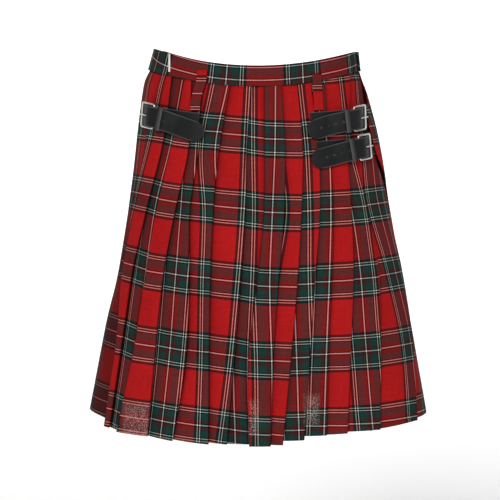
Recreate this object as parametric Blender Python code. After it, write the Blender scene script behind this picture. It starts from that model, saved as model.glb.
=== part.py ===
"""Tartan kilt, worn shape with nobody in it: a pleated wool wrap skirt held by three leather straps and buckles.

Metres, +Z up. The pleated side faces -Y, the two plain aprons lie on the +Y side, and the origin is the middle of
the waist opening, at half the height of the waistband.
"""

import math

import bmesh
import bpy
from mathutils import Matrix, Vector

MM = 0.001

# --- cloth and leather thicknesses, and the gap kept between pieces ---------------------------------------------
CLOTH = 1.3 * MM
APRON_CLOTH = 1.5 * MM
BAND_CLOTH = 2.6 * MM
LOOP_CLOTH = 1.4 * MM
SEAM_GAP = 0.3 * MM
BAND_HEIGHT = 34 * MM
SKIRT_LENGTH = 558 * MM

# --- the figure-like cone that the cloth is laid on --------------------------------------------------------------
# down: cloth length below the waist seam. left/right: half widths. front/back: half depths.
# z_*: height of that row's edge at the front centre, the left side, the right side and the back centre.
RING_COLUMNS = ("down", "left", "right", "front", "back", "z_front", "z_left", "z_right", "z_back")
RING_ROWS = [
    (-34, 160, 154, 118, 112, 4.7, 30.9, 26.2, 3.0),
    (0, 170, 157.5, 122, 115, -27.5, -3, -5, -30),
    (18, 178.5, 161.7, 125.0, 117.2, -45.1, -21.7, -23.2, -47.8),
    (55, 184.8, 171.5, 131.5, 122.2, -81.5, -60.8, -61.3, -84.4),
    (100, 190.5, 183, 139, 128, -125.9, -107.3, -107.3, -129),
    (200, 201.5, 202.5, 152, 139, -224.9, -204.0, -204.9, -228),
    (310, 219, 224, 165, 151, -334.0, -310.1, -312.5, -337),
    (430, 244.5, 247, 179, 163, -453.6, -423.9, -429.7, -455),
    (558, 267.5, 270, 193, 176, -580.3, -546.4, -554.4, -581),
]

# --- pleat folds of the pleated panel, from its left to its right -----------------------------------------------
# Distance of each fold edge from the centre line at the seam, hip, thigh, mid, low and hem rows, in millimetres,
# the depth of the cloth tucked under it, and which face lies on top: the one to its left or to its right.
FOLD_DOWN = (0, 100, 200, 310, 430, 558)
FOLD_COLUMNS = ("seam", "hip", "thigh", "mid", "low", "hem", "tuck", "top_face")
FOLD_ROWS = [
    (-149.7, -174.6, -192.2, -211.8, -222.9, -241.0, 7, "right"),
    (-134.1, -148.0, -171.4, -196.5, -214.9, -233.4, 8, "left"),
    (-112.6, -132.8, -154.9, -174.3, -192.9, -220.0, 8, "right"),
    (-102.7, -106.7, -127.4, -147.0, -159.5, -171, 9, "left"),
    (-86.9, -91.3, -105.2, -106.0, -110.8, -131.9, 12, "left"),
    (-42.1, -59.1, -68.8, -73.1, -74.6, -75.4, 18, "left"),
    (-10, -17, -19, -26, -36, -47, 9, "left"),
    (12, 12, 11, 0, -14, -12, 14, "right"),
    (37.1, 42.6, 41.3, 32.1, 24.2, 20.3, 10, "left"),
    (61.9, 70.1, 68.1, 61.8, 51.4, 39.1, 16, "left"),
    (83.5, 94.7, 97.2, 89.3, 81.0, 72.1, 14, "left"),
    (104.9, 111.9, 118.2, 116.1, 111.0, 107.4, 10, "left"),
    (125.8, 138.2, 146.5, 150.3, 145.7, 140.1, 14, "left"),
    (145.6, 147.6, 170.9, 190.2, 193.4, 191.8, 10, "left"),
    (161.0, 178.5, 206.1, 228.2, 245.3, 251.5, 8, "left"),
]
# how much longer each face hangs at the hem, at its left and right edge
FACE_LONGER = (
    (1, -2), (8, 8), (9, 9), (9.5, 3.5), (3.5, 2.8), (1.5, 0.5), (-1.5, -1.5), (-1.8, -1.8), (0.5, 0.5),
    (-1, -1), (-6.5, -6.5), (-12, -10.5), (-10.5, -9), (-10.5, -5.5), (-5, -3.8), (-4.5, -3),
)
FOLD_STEP_SEAM = 1.9 * MM
FOLD_STEP_HEM = 4.2 * MM
TUCK_SHARE = 0.42
FACE_SHARES = (0, 0.34, 0.67, 1)
FACE_SWELL = 0.6 * MM
PANEL_LEFT_END = math.radians(-105)
PANEL_RIGHT_END = math.radians(100)
PANEL_ROW_COUNT = 9

# --- aprons and waistband: angles round the body, 0 at the pleated centre, positive towards the right -----------
UNDER_FREE_EDGE = math.radians(250)
APRON_STEPS = 26
APRON_ROWS = (0, 25, 45, 60, 85, 110, 135, 155, 180, 230, 310, 430, 558)
# over apron: angle of the free edge and its distance out from the cone, down the skirt
FREE_EDGE_COLUMNS = ("down", "angle_deg", "out_mm")
FREE_EDGE_ROWS = [
    (0, 96, 7.2),
    (25, 92, 8.8),
    (45, 80, 9.8),
    (60, 72.5, 10.2),
    (85, 70.6, 10.3),
    (110, 71.6, 10.2),
    (135, 74.5, 9.9),
    (155, 82, 9.2),
    (180, 93, 8.4),
    (310, 96, 6.8),
    (558, 98, 6.6),
]
BAND_OUT = 3.4 * MM
BAND_OUTER_END_OUT = 7.0 * MM
BAND_INNER_END_OUT = -1.0 * MM
BAND_STEP = math.radians(5)

# --- leather straps, chapes and keepers, with their buckles --------------------------------------------------------
STRAP_WIDTH = 32 * MM
STRAP_LEATHER = 2.0 * MM
CHAPE_LEATHER = 1.5 * MM
KEEPER_LEATHER = 1.3 * MM
BUCKLE_WIRE = 1.4 * MM
BUCKLE_HEIGHT = 38 * MM
BUCKLE_LENGTH = 29.5 * MM
BUCKLE_CORNER = 2.6 * MM
BUCKLE_HEEL_OUT = 9.7 * MM
BUCKLE_TOE_OUT = 10.9 * MM
KEEPER_OUT = 13.2 * MM
KEEPER_HEIGHT = 7.4 * MM
PRONG_WIRE = 1.0 * MM
PRONG_SLOT_PLACE = 11 * MM
PRONG_SLOT_LENGTH = 15 * MM
PRONG_SLOT_WIDTH = 5 * MM
HOLE_RADIUS = 1.2 * MM
HOLE_PITCH = 13 * MM
LEATHER_ON_CLOTH = 7.2 * MM
CHAPE_ON_CLOTH = 7.0 * MM
# stations of each strap from its sewn root, past the buckle's outer bar and the keeper, to its tip
STATION_COLUMNS = ("root", "bar", "keeper", "middle", "shoulder", "tip")
STRAPS = {
    "left": {
        "angles": (-69.4, -66.6, -50.1, -39.5, -30.4, -25.4),
        "heights": (-71.2, -72.0, -79.1, -88.8, -97.5, -102.5),
        "chape_end": (-28.5, -85.0),
        "root_out": 6.9,
        "turn": 8,
        "keeper": (41.5, 51.5),
        "first_hole": 56,
        "holes": 1,
    },
    "right_upper": {
        "angles": (87, 65.0, 47.6, 37.0, 28.5, 25.3),
        "heights": (-71.5, -76.3, -82.5, -88.8, -96.0, -98.5),
        "chape_end": (28.3, -84.0),
        "root_out": 7.2,
        "turn": 16,
        "keeper": (41.5, 51.5),
        "first_hole": 53,
        "holes": 4,
    },
    "right_lower": {
        "angles": (87, 65.0, 48.4, 38.2, 29.2, 25.9),
        "heights": (-118, -121.8, -127.5, -134.5, -140.8, -143.0),
        "chape_end": (29.8, -128.6),
        "root_out": 7.2,
        "turn": 8,
        "keeper": (43, 53),
        "first_hole": 54.5,
        "holes": 4,
    },
}

# --- belt loops: x and z of the centre line from top to bottom, and distance out from the cone ------------------
LOOP_WIDTH = 16.5 * MM
LOOPS = {
    "left": ((-90, -3, 5.9), (-90.6, -9, 7.2), (-92, -21, 8.3), (-95, -37, 8.4), (-98, -56, 7.4), (-99, -66, 6.4)),
    "right": ((96, -8, 5.9), (96, -13, 7.2), (96.3, -23, 8.3), (97.2, -37, 8.4), (99, -55, 7.4), (99.5, -65, 6.4)),
}

# colour, roughness, metallic
FINISHES = {
    "tartan": ((0.42, 0.03, 0.035, 1.0), 0.9, 0.0),
    "leather": ((0.018, 0.018, 0.02, 1.0), 0.5, 0.0),
    "steel": ((0.75, 0.74, 0.72, 1.0), 0.25, 1.0),
}


def clear_scene():
    for thing in list(bpy.data.objects):
        bpy.data.objects.remove(thing, do_unlink=True)


def smooth_rows(place, places, values):
    """Value at a place between table rows, on a smooth curve through them all."""
    last = len(places) - 1
    if place <= places[0]:
        return values[0] + (place - places[0]) * (values[1] - values[0]) / (places[1] - places[0])
    if place >= places[last]:
        return values[last]
    row = max(i for i in range(last) if places[i] <= place)
    span = places[row + 1] - places[row]
    share = (place - places[row]) / span

    def slope(i):
        low, high = max(i - 1, 0), min(i + 1, last)
        return (values[high] - values[low]) / (places[high] - places[low])

    square, cube = share * share, share * share * share
    return (
        (2 * cube - 3 * square + 1) * values[row]
        + (cube - 2 * square + share) * span * slope(row)
        + (3 * square - 2 * cube) * values[row + 1]
        + (cube - square) * span * slope(row + 1)
    )


def column(rows, columns, name):
    return [row[columns.index(name)] for row in rows]


def ring_size(down, name):
    downs = column(RING_ROWS, RING_COLUMNS, "down")
    return smooth_rows(down / MM, downs, column(RING_ROWS, RING_COLUMNS, name)) * MM


def half_sizes(angle, down):
    side = "right" if math.sin(angle) >= 0 else "left"
    face = "front" if math.cos(angle) >= 0 else "back"
    return ring_size(down, side), ring_size(down, face)


def ring_height(angle, down):
    """Height of the cloth row: it sags between the hips, at the front and at the back."""
    turn, level = math.sin(angle), math.cos(angle)
    left, right = ring_size(down, "z_left"), ring_size(down, "z_right")
    side = (left + right) / 2 + (right - left) / 2 * turn
    middle = ring_size(down, "z_front" if level >= 0 else "z_back")
    return side + (middle - side) * level * level


def out_normal(angle, down):
    wide, deep = half_sizes(angle, down)
    return Vector((math.sin(angle) / wide, -math.cos(angle) / deep, 0)).normalized()


def on_body(angle, down, out):
    wide, deep = half_sizes(angle, down)
    base = Vector((wide * math.sin(angle), -deep * math.cos(angle), ring_height(angle, down)))
    return base + out_normal(angle, down) * out


def down_at_height(angle, height):
    low, high = -BAND_HEIGHT, SKIRT_LENGTH
    for _ in range(40):
        middle = (low + high) / 2
        if ring_height(angle, middle) > height:
            low = middle
        else:
            high = middle
    return (low + high) / 2


def at_height(angle, height, out):
    return on_body(angle, down_at_height(angle, height), out)


def up_the_cloth(angle, height):
    return (at_height(angle, height + 5 * MM, 0) - at_height(angle, height - 5 * MM, 0)).normalized()


def metres_per_radian(angle, down):
    wide, deep = half_sizes(angle, down)
    return math.hypot(wide * math.cos(angle), deep * math.sin(angle))


def new_object(name, mesh, finish, collection):
    thing = bpy.data.objects.new(name, mesh)
    collection.objects.link(thing)
    if finish:
        colour, roughness, metallic = FINISHES[finish]
        material = bpy.data.materials.new(name + "_" + finish)
        material.use_nodes = True
        shader = material.node_tree.nodes["Principled BSDF"]
        shader.inputs["Base Color"].default_value = colour
        shader.inputs["Roughness"].default_value = roughness
        shader.inputs["Metallic"].default_value = metallic
        mesh.materials.append(material)
    return thing


def grid_solid(name, sections, finish, collection, closed_section=True):
    """Loft through sections that all have the same number of points, with flat ends."""
    shape = bmesh.new()
    rows = [[shape.verts.new(point) for point in section] for section in sections]
    count = len(sections[0])
    for lower, upper in zip(rows, rows[1:]):
        for i in range(count if closed_section else count - 1):
            j = (i + 1) % count
            shape.faces.new((lower[i], lower[j], upper[j], upper[i]))
    half = count // 2
    for row in (rows[0], rows[-1]):
        for i in range(half - 1):
            shape.faces.new((row[i], row[i + 1], row[count - 2 - i], row[count - 1 - i]))
    bmesh.ops.recalc_face_normals(shape, faces=shape.faces)
    bmesh.ops.triangulate(shape, faces=shape.faces)
    mesh = bpy.data.meshes.new(name)
    shape.to_mesh(mesh)
    shape.free()
    return new_object(name, mesh, finish, collection)


def wall_section(path, down, thickness, drops):
    """Outline of a cloth wall in one row: its outer side one way, its inner side back."""
    centres = [on_body(angle, down, out) for angle, out in path]
    flat = [Vector((p.x, p.y)) for p in centres]
    sides = []
    for i, here in enumerate(flat):
        before = (here - flat[i - 1]).normalized() if i else None
        after = (flat[i + 1] - here).normalized() if i < len(flat) - 1 else None
        before = before or after
        after = after or before
        across = Vector((before.y, -before.x)) + Vector((after.y, -after.x))
        across.normalize()
        reach = thickness / 2 / max(across.dot(Vector((before.y, -before.x))), 0.6)
        sides.append(Vector((across.x, across.y, 0)) * reach)
    outer = [p + s - Vector((0, 0, d)) for p, s, d in zip(centres, sides, drops)]
    inner = [p - s - Vector((0, 0, d)) for p, s, d in zip(centres, sides, drops)]
    return outer + inner[::-1]


def fold_step(down):
    return FOLD_STEP_SEAM + (FOLD_STEP_HEM - FOLD_STEP_SEAM) * down / SKIRT_LENGTH


def angle_at(distance, down, out):
    """Angle at which cloth at this distance out stands this far to the side."""
    low, high = math.radians(-86), math.radians(86)
    for _ in range(24):
        middle = (low + high) / 2
        if on_body(middle, down, out).x < distance:
            low = middle
        else:
            high = middle
    return (low + high) / 2


def fold_angles(down):
    out = 1.5 * fold_step(down)
    return [angle_at(smooth_rows(down / MM, FOLD_DOWN, row[:6]) * MM, down, out) for row in FOLD_ROWS]


def pleat_path(down):
    """Angle and distance out of the pleated cloth in one row, with every tuck folded under the face that covers it."""
    step = fold_step(down)
    high = 2 * step
    edges = fold_angles(down)
    bounds = [PANEL_LEFT_END] + edges + [PANEL_RIGHT_END]
    tops = column(FOLD_ROWS, FOLD_COLUMNS, "top_face")
    tucks = column(FOLD_ROWS, FOLD_COLUMNS, "tuck")
    path = []
    for face in range(len(bounds) - 1):
        start, end = bounds[face], bounds[face + 1]
        first_out = high if face and tops[face - 1] == "right" else 0
        last_out = high if face < len(edges) and tops[face] == "left" else 0
        for share in FACE_SHARES:
            swell = FACE_SWELL * math.sin(math.pi * share)
            path.append((start + (end - start) * share, first_out + (last_out - first_out) * share + swell))
        if face == len(edges):
            break
        rate = metres_per_radian(end, down)
        if tops[face] == "left":
            reach = min(tucks[face] * MM / rate, (end - start) * TUCK_SHARE)
            lean = (last_out - first_out) * reach / (end - start)
            path.append((end, high - step))
            path.append((end - reach, high - step - lean))
            path.append((end - reach, -lean))
        else:
            covering = bounds[face + 2] - end
            reach = min(tucks[face] * MM / rate, covering * TUCK_SHARE)
            path.append((end + reach, 0))
            path.append((end + reach, step))
            path.append((end, step))
    return path


def rows_down(count, first=0.0):
    return [first + (SKIRT_LENGTH - first) * i / (count - 1) for i in range(count)]


def hem_drops(down):
    """How much lower each point of a row hangs: every face has its own hem, and its tucks follow it."""
    hang = (down / SKIRT_LENGTH) ** 2
    drops = []
    for face, (left, right) in enumerate(FACE_LONGER):
        drops += [left + (right - left) * share for share in FACE_SHARES]
        if face == len(FACE_LONGER) - 1:
            break
        after = FACE_LONGER[face + 1][0]
        drops += [right, right, after] if FOLD_ROWS[face][7] == "left" else [right, after, after]
    return [drop * MM * hang for drop in drops]


def make_pleated_panel(collection):
    sections = []
    for down in rows_down(PANEL_ROW_COUNT):
        path = pleat_path(down)
        drops = [SEAM_GAP] * len(path) if down == 0 else hem_drops(down)
        sections.append(wall_section(path, down, CLOTH, drops))
    return grid_solid("pleated_panel", sections, "tartan", collection)


def band_out(angle):
    """Distance out of the waistband's one long strip, from its outer end, round the pleats, to its inner end."""
    stops = [math.radians(-276), math.radians(-180), PANEL_LEFT_END, PANEL_RIGHT_END, math.radians(252)]
    outs = [BAND_OUTER_END_OUT, 5.6 * MM, BAND_OUT, BAND_OUT, BAND_INNER_END_OUT]
    if angle <= stops[0]:
        return outs[0]
    for i in range(4):
        if angle <= stops[i + 1]:
            share = (angle - stops[i]) / (stops[i + 1] - stops[i])
            return outs[i] + (outs[i + 1] - outs[i]) * share
    return outs[-1]


def make_waistband(collection):
    first = math.radians(-276)
    count = round((UNDER_FREE_EDGE - first) / BAND_STEP)
    angles = [first + (UNDER_FREE_EDGE - first) * i / count for i in range(count + 1)]
    sections = []
    for angle in angles:
        out = band_out(angle)
        corners = []
        for down, side in ((-BAND_HEIGHT, 1), (0, 1), (0, -1), (-BAND_HEIGHT, -1)):
            corners.append(on_body(angle, down, out + side * BAND_CLOTH / 2))
        sections.append(corners)
    return grid_solid("waistband", sections, "tartan", collection)


def free_edge(down, name):
    downs = [row[0] for row in FREE_EDGE_ROWS]
    return smooth_rows(down / MM, downs, column(FREE_EDGE_ROWS, FREE_EDGE_COLUMNS, name))


def over_apron_path(down):
    """From the left side seam, round behind, to the free edge that overlaps the right hip."""
    start = PANEL_LEFT_END - 1.2 * MM / metres_per_radian(PANEL_LEFT_END, down)
    end = math.radians(free_edge(down, "angle_deg") - 360)
    edge_out = free_edge(down, "out_mm") * MM
    path = []
    for i in range(APRON_STEPS + 1):
        share = i / APRON_STEPS
        angle = start + (end - start) * share
        seam_out = band_out(angle)
        rise = min(1.0, down / (30 * MM))
        start_out = BAND_OUT * (1 - rise)
        hang_out = start_out + (edge_out - start_out) * min(1.0, share / 0.8) ** 1.2
        path.append((angle, seam_out + (hang_out - seam_out) * rise))
    return path


def under_apron_path(down):
    """From the right side seam, behind the over apron, to the free edge inside the left hip."""
    start = PANEL_RIGHT_END + 1.2 * MM / metres_per_radian(PANEL_RIGHT_END, down)
    path = []
    for i in range(APRON_STEPS + 1):
        share = i / APRON_STEPS
        angle = start + (UNDER_FREE_EDGE - start) * share
        seam_out = band_out(angle)
        rise = min(1.0, down / (30 * MM))
        hang_out = -2.6 * MM * share
        path.append((angle, seam_out + (hang_out - seam_out) * rise))
    return path


def make_apron(name, path_at, collection):
    sections = [
        wall_section(path_at(down), down, APRON_CLOTH, [SEAM_GAP if down == 0 else 0] * (APRON_STEPS + 1))
        for down in (row * MM for row in APRON_ROWS)
    ]
    return grid_solid(name, sections, "tartan", collection)


class StrapLine:
    """Centre line of a strap on the body, measured from the buckle's outer bar towards the tip."""

    def __init__(self, angles, heights, full_turn):
        self.full_turn = math.radians(full_turn)
        self.angles = [math.radians(a) for a in angles]
        self.heights = [h * MM for h in heights]
        places = [0.0]
        for i in range(len(angles) - 1):
            places.append(places[-1] + self.length_between(i))
        self.places = [p - places[1] for p in places]

    def length_between(self, i):
        steps, total, last = 12, 0.0, None
        for k in range(steps + 1):
            share = k / steps
            angle = self.angles[i] + (self.angles[i + 1] - self.angles[i]) * share
            height = self.heights[i] + (self.heights[i + 1] - self.heights[i]) * share
            point = at_height(angle, height, LEATHER_ON_CLOTH)
            total += (point - last).length if last else 0.0
            last = point
        return total

    def point(self, distance, out):
        angle = smooth_rows(distance, self.places, self.angles)
        height = smooth_rows(distance, self.places, self.heights)
        return at_height(angle, height, self.lifted(distance, out))

    def turn(self, distance):
        before, past = 1 + distance / TURN_BEFORE, 1 - (distance - BUCKLE_LENGTH) / TURN_PAST
        share = max(0.0, min(1.0, before, past))
        return self.full_turn * share * share * (3 - 2 * share)

    def lifted(self, distance, out):
        """Distance out of the middle, so that the lower edge of the turned strap stays off the cloth."""
        return out + STRAP_WIDTH / 2 * math.sin(self.turn(distance))

    def turned(self, distance, across, outward):
        turn = self.turn(distance)
        return across * math.cos(turn) + outward * math.sin(turn), outward * math.cos(turn) - across * math.sin(turn)

    def frame(self, distance, out):
        """Axes at a station: along the strap, up across it, and out from the body."""
        along = (self.point(distance + MM, out) - self.point(distance - MM, out)).normalized()
        angle = smooth_rows(distance, self.places, self.angles)
        across = up_the_cloth(angle, smooth_rows(distance, self.places, self.heights))
        across = (across - along * across.dot(along)).normalized()
        outward = along.cross(across)
        if outward.dot(self.point(distance, out + MM) - self.point(distance, out)) < 0:
            outward = -outward
        across, outward = self.turned(distance, across, outward)
        return Matrix((along, across, outward)).transposed().to_4x4()


def ribbon(name, stations, thickness, finish, collection):
    """Leather or cloth strip through stations of centre, across direction, half width and flat normal."""
    sections = []
    for centre, across, half, normal in stations:
        lift = normal * thickness / 2
        sections.append(
            [
                centre - across * half + lift,
                centre + lift,
                centre + across * half + lift,
                centre + across * half - lift,
                centre - lift,
                centre - across * half - lift,
            ]
        )
    return grid_solid(name, sections, finish, collection)


def path_stations(points, across, halves):
    """Stations along points whose strip stands square to both its path and the across direction."""
    stations = []
    for i, point in enumerate(points):
        before = points[max(i - 1, 0)]
        after = points[min(i + 1, len(points) - 1)]
        along = (after - before).normalized()
        normal = along.cross(across[i]).normalized()
        stations.append((point, across[i], halves[i], normal))
    return stations


def box_cutter(name, matrix, size, collection):
    bpy.ops.mesh.primitive_cube_add(size=1)
    cutter = bpy.context.active_object
    return finish_cutter(cutter, name, matrix @ Matrix.Diagonal((*size, 1)), collection)


def round_cutter(name, matrix, radius, depth, collection):
    bpy.ops.mesh.primitive_cylinder_add(vertices=10, radius=radius, depth=depth)
    cutter = bpy.context.active_object
    return finish_cutter(cutter, name, matrix, collection)


def finish_cutter(cutter, name, matrix, collection):
    cutter.name = name
    for home in list(cutter.users_collection):
        home.objects.unlink(cutter)
    collection.objects.link(cutter)
    cutter.data.transform(matrix)
    if matrix.determinant() < 0:
        cutter.data.flip_normals()
    cutter.hide_render = True
    cutter.display_type = "WIRE"
    return cutter


def cut(thing, cutter):
    boolean = thing.modifiers.new("cut_" + cutter.name, "BOOLEAN")
    boolean.operation = "DIFFERENCE"
    boolean.solver = "EXACT"
    boolean.object = cutter


def station_matrix(line, distance, out):
    return Matrix.Translation(line.point(distance, out)) @ line.frame(distance, out)


def buckle_matrix(line):
    """Flat plane of a buckle: origin at its middle, x towards the heel bar, y up across the strap."""
    toe, heel = line.point(0, BUCKLE_TOE_OUT), line.point(BUCKLE_LENGTH, BUCKLE_HEEL_OUT)
    along = (heel - toe).normalized()
    axes = line.frame(BUCKLE_LENGTH / 2, BUCKLE_HEEL_OUT).to_3x3()
    across = (axes.col[1] - along * along.dot(axes.col[1])).normalized()
    outward = axes.col[2] - along * along.dot(axes.col[2])
    outward = (outward - across * across.dot(outward)).normalized()
    turn = Matrix((along, across, outward)).transposed().to_4x4()
    return Matrix.Translation((toe + heel) / 2) @ turn


# each strap is turned about its own length, its top edge outwards by "turn" degrees: all of it under the frame,
# none from this far before the outer bar and this far past the heel bar
TURN_BEFORE = 12 * MM
TURN_PAST = 50 * MM
STRAP_PROFILE_COLUMNS = ("distance_mm", "out_mm")
STRAP_PROFILE = [
    (0, 7.2),
    (3.5, 7.6),
    (9, 9.9),
    (16, 13.0),
    (24, 14.8),
    (33, 15.1),
]
PAST_KEEPER_COLUMNS = ("past_keeper_mm", "out_mm")
PAST_KEEPER = [
    (2, 14.9),
    (10, 13.2),
    (24, 10.4),
    (38, 9.7),
]
TIP_SHAPE = [(24, 1.0), (15, 0.97), (8, 0.84), (3.5, 0.62), (0, 0.3)]


def strap_out(distance, root_out, root_distance, keeper_end):
    distances = [row[0] * MM for row in STRAP_PROFILE] + [keeper_end + row[0] * MM for row in PAST_KEEPER]
    outs = [row[1] * MM for row in STRAP_PROFILE + PAST_KEEPER]
    if distance < 0:
        share = min(1.0, -distance / -root_distance)
        return outs[0] + (root_out * MM - outs[0]) * share * share
    return smooth_rows(distance, distances, outs) if distance < distances[-1] else outs[-1]


def make_strap(side, line, facts, leather, cutters):
    root, tip = line.places[0], line.places[-1]
    shoulder = tip - TIP_SHAPE[0][0] * MM
    count = 20
    places = [root + (shoulder - root) * i / count for i in range(count)]
    halves = [1.0] * count
    for before_tip, share in TIP_SHAPE:
        places.append(tip - before_tip * MM)
        halves.append(share)
    points = [line.point(p, strap_out(p, facts["root_out"], root, facts["keeper"][1] * MM)) for p in places]
    across = [line.frame(p, LEATHER_ON_CLOTH).to_3x3().col[1] for p in places]
    widths = [share * STRAP_WIDTH / 2 for share in halves]
    strap = ribbon("strap_" + side, path_stations(points, across, widths), STRAP_LEATHER, "leather", leather)
    slot = station_matrix(line, PRONG_SLOT_PLACE, 12 * MM)
    cut(strap, box_cutter(f"slot_{side}", slot, (PRONG_SLOT_LENGTH, PRONG_SLOT_WIDTH, 24 * MM), cutters))
    for i in range(facts["holes"]):
        place = station_matrix(line, facts["first_hole"] * MM + i * HOLE_PITCH, 10 * MM)
        cut(strap, round_cutter(f"hole_{side}_{i + 1}", place, HOLE_RADIUS, 24 * MM, cutters))
    return strap


def make_chape(side, line, facts, leather, cutters):
    """Tab sewn on the cloth; it turns back round the buckle's heel bar and ends under the keeper."""
    bar = BUCKLE_LENGTH
    end_angle, end_height = facts["chape_end"]
    start = line.point(bar, CHAPE_ON_CLOTH)
    start_angle = smooth_rows(bar, line.places, line.angles)
    start_height = smooth_rows(bar, line.places, line.heights)
    points, across = [], []
    steps = 9
    for i in range(steps):
        share = i / steps
        angle = math.radians(end_angle) + (start_angle - math.radians(end_angle)) * share
        height = end_height * MM + (start_height - end_height * MM) * share
        points.append(at_height(angle, height, CHAPE_ON_CLOTH))
        lean = line.frame(bar + TURN_PAST, CHAPE_ON_CLOTH).to_3x3().col[1] * 0.4 + up_the_cloth(angle, height) * 0.6
        across.append(lean.normalized())
    plane = buckle_matrix(line)
    turn = BUCKLE_WIRE + CHAPE_LEATHER / 2 + 0.4 * MM
    for i in range(7):
        bend = math.pi * i / 6
        heel = Vector((bar / 2 - turn * math.sin(bend), 0, -turn * math.cos(bend)))
        points.append(plane @ heel)
        across.append(plane.to_3x3().col[1])
    for distance in (42 * MM, (facts["keeper"][1] + 3) * MM):
        points.append(line.point(distance, BUCKLE_HEEL_OUT + turn))
        across.append(line.frame(distance, BUCKLE_HEEL_OUT).to_3x3().col[1])
    halves = [STRAP_WIDTH / 2] * len(points)
    chape = ribbon("chape_" + side, path_stations(points, across, halves), CHAPE_LEATHER, "leather", leather)
    slot = plane @ Matrix.Translation((bar / 2, 0, 0))
    cut(chape, box_cutter(f"chape_slot_{side}", slot, (13 * MM, PRONG_SLOT_WIDTH + 3 * MM, 20 * MM), cutters))
    return chape


def ring_wire(name, points, radius, cyclic, finish, collection):
    curve = bpy.data.curves.new(name, "CURVE")
    curve.dimensions = "3D"
    curve.bevel_depth = radius
    curve.bevel_resolution = 2
    curve.use_fill_caps = not cyclic
    spline = curve.splines.new("POLY")
    spline.points.add(len(points) - 1)
    for spot, point in zip(spline.points, points):
        spot.co = (*point, 1)
    spline.use_cyclic_u = cyclic
    return new_object(name, curve, finish, collection)


def make_buckle(side, line, metal):
    """Rectangular wire frame with rounded corners, lying flat against the hip."""
    middle = buckle_matrix(line)
    half_long, half_high = BUCKLE_LENGTH / 2, BUCKLE_HEIGHT / 2
    points = []
    for quarter, (x_side, y_side) in enumerate(((1, 1), (-1, 1), (-1, -1), (1, -1))):
        for i in range(4):
            turn = math.radians(90 * quarter + 30 * i)
            x = x_side * (half_long - BUCKLE_CORNER) + BUCKLE_CORNER * math.cos(turn)
            y = y_side * (half_high - BUCKLE_CORNER) + BUCKLE_CORNER * math.sin(turn)
            points.append(middle @ Vector((x, y, 0)))
    return ring_wire("buckle_" + side, points, BUCKLE_WIRE, True, "steel", metal)


def make_prong(side, line, metal):
    """Tongue that hooks round the heel bar, comes up through the strap and rests on the outer bar."""
    middle = buckle_matrix(line)
    half = BUCKLE_LENGTH / 2
    hook = BUCKLE_WIRE + PRONG_WIRE + 0.45 * MM
    points = []
    for i in range(8):
        turn = math.radians(-145 + 265 * i / 7)
        points.append(middle @ Vector((half + hook * math.cos(turn), 0, hook * math.sin(turn))))
    points.append(middle @ Vector((half - 4.5 * MM, 0, 1.3 * MM)))
    points.append(middle @ Vector((0, 0, 1.9 * MM)))
    points.append(middle @ Vector((-half + 2 * MM, 0, hook)))
    points.append(middle @ Vector((-half - 3.5 * MM, 0, hook - 0.3 * MM)))
    return ring_wire("prong_" + side, points, PRONG_WIRE, False, "steel", metal)


def make_keeper(side, line, facts, leather):
    """Leather loop: its bottom lies between the two layers of the chape, its top over the strap."""
    first, last = (place * MM for place in facts["keeper"])
    middle = (first + last) / 2
    matrix = station_matrix(line, middle, KEEPER_OUT)
    half = STRAP_WIDTH / 2 + 0.8 * MM
    low, high = -KEEPER_HEIGHT / 2, KEEPER_HEIGHT / 2
    wall = KEEPER_LEATHER
    width = last - first
    outer = ((-half - wall, low - wall), (half + wall, low - wall), (half + wall, high + wall), (-half - wall, high + wall))
    inner = ((-half, low), (half, low), (half, high), (-half, high))
    shape = bmesh.new()
    rings = []
    for x in (-width / 2, width / 2):
        for corners in (outer, inner):
            rings.append([shape.verts.new(matrix @ Vector((x, y, z))) for y, z in corners])
    near_outer, near_inner, far_outer, far_inner = rings
    for i in range(4):
        j = (i + 1) % 4
        shape.faces.new((near_outer[i], near_outer[j], near_inner[j], near_inner[i]))
        shape.faces.new((far_outer[i], far_outer[j], far_inner[j], far_inner[i]))
        shape.faces.new((near_outer[i], near_outer[j], far_outer[j], far_outer[i]))
        shape.faces.new((near_inner[i], near_inner[j], far_inner[j], far_inner[i]))
    bmesh.ops.recalc_face_normals(shape, faces=shape.faces)
    mesh = bpy.data.meshes.new("keeper_" + side)
    shape.to_mesh(mesh)
    shape.free()
    return new_object("keeper_" + side, mesh, "leather", leather)


def make_belt_loop(side, stops, collection):
    points, across = [], []
    places = list(range(len(stops)))
    for i in range(2 * len(stops) - 1):
        x, z, out = (smooth_rows(i / 2, places, [stop[k] for stop in stops]) * MM for k in range(3))
        angle = angle_at(x, max(0.0, -z), 8 * MM)
        points.append(at_height(angle, z, out))
        sideways = at_height(angle + 0.01, z, out) - at_height(angle - 0.01, z, out)
        across.append(sideways.normalized())
    stations = path_stations(points, across, [LOOP_WIDTH / 2] * len(points))
    return ribbon("belt_loop_" + side, stations, LOOP_CLOTH, "tartan", collection)


def main():
    clear_scene()
    kilt = bpy.data.collections.new("kilt")
    cutters = bpy.data.collections.new("cutters")
    bpy.context.scene.collection.children.link(kilt)
    bpy.context.scene.collection.children.link(cutters)
    make_pleated_panel(kilt)
    make_apron("over_apron", over_apron_path, kilt)
    make_apron("under_apron", under_apron_path, kilt)
    make_waistband(kilt)
    for side, stops in LOOPS.items():
        make_belt_loop(side, stops, kilt)
    for side, facts in STRAPS.items():
        line = StrapLine(facts["angles"], facts["heights"], facts["turn"])
        make_strap(side, line, facts, kilt, cutters)
        make_chape(side, line, facts, kilt, cutters)
        make_buckle(side, line, kilt)
        make_prong(side, line, kilt)
        make_keeper(side, line, facts, kilt)


main()
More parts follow.
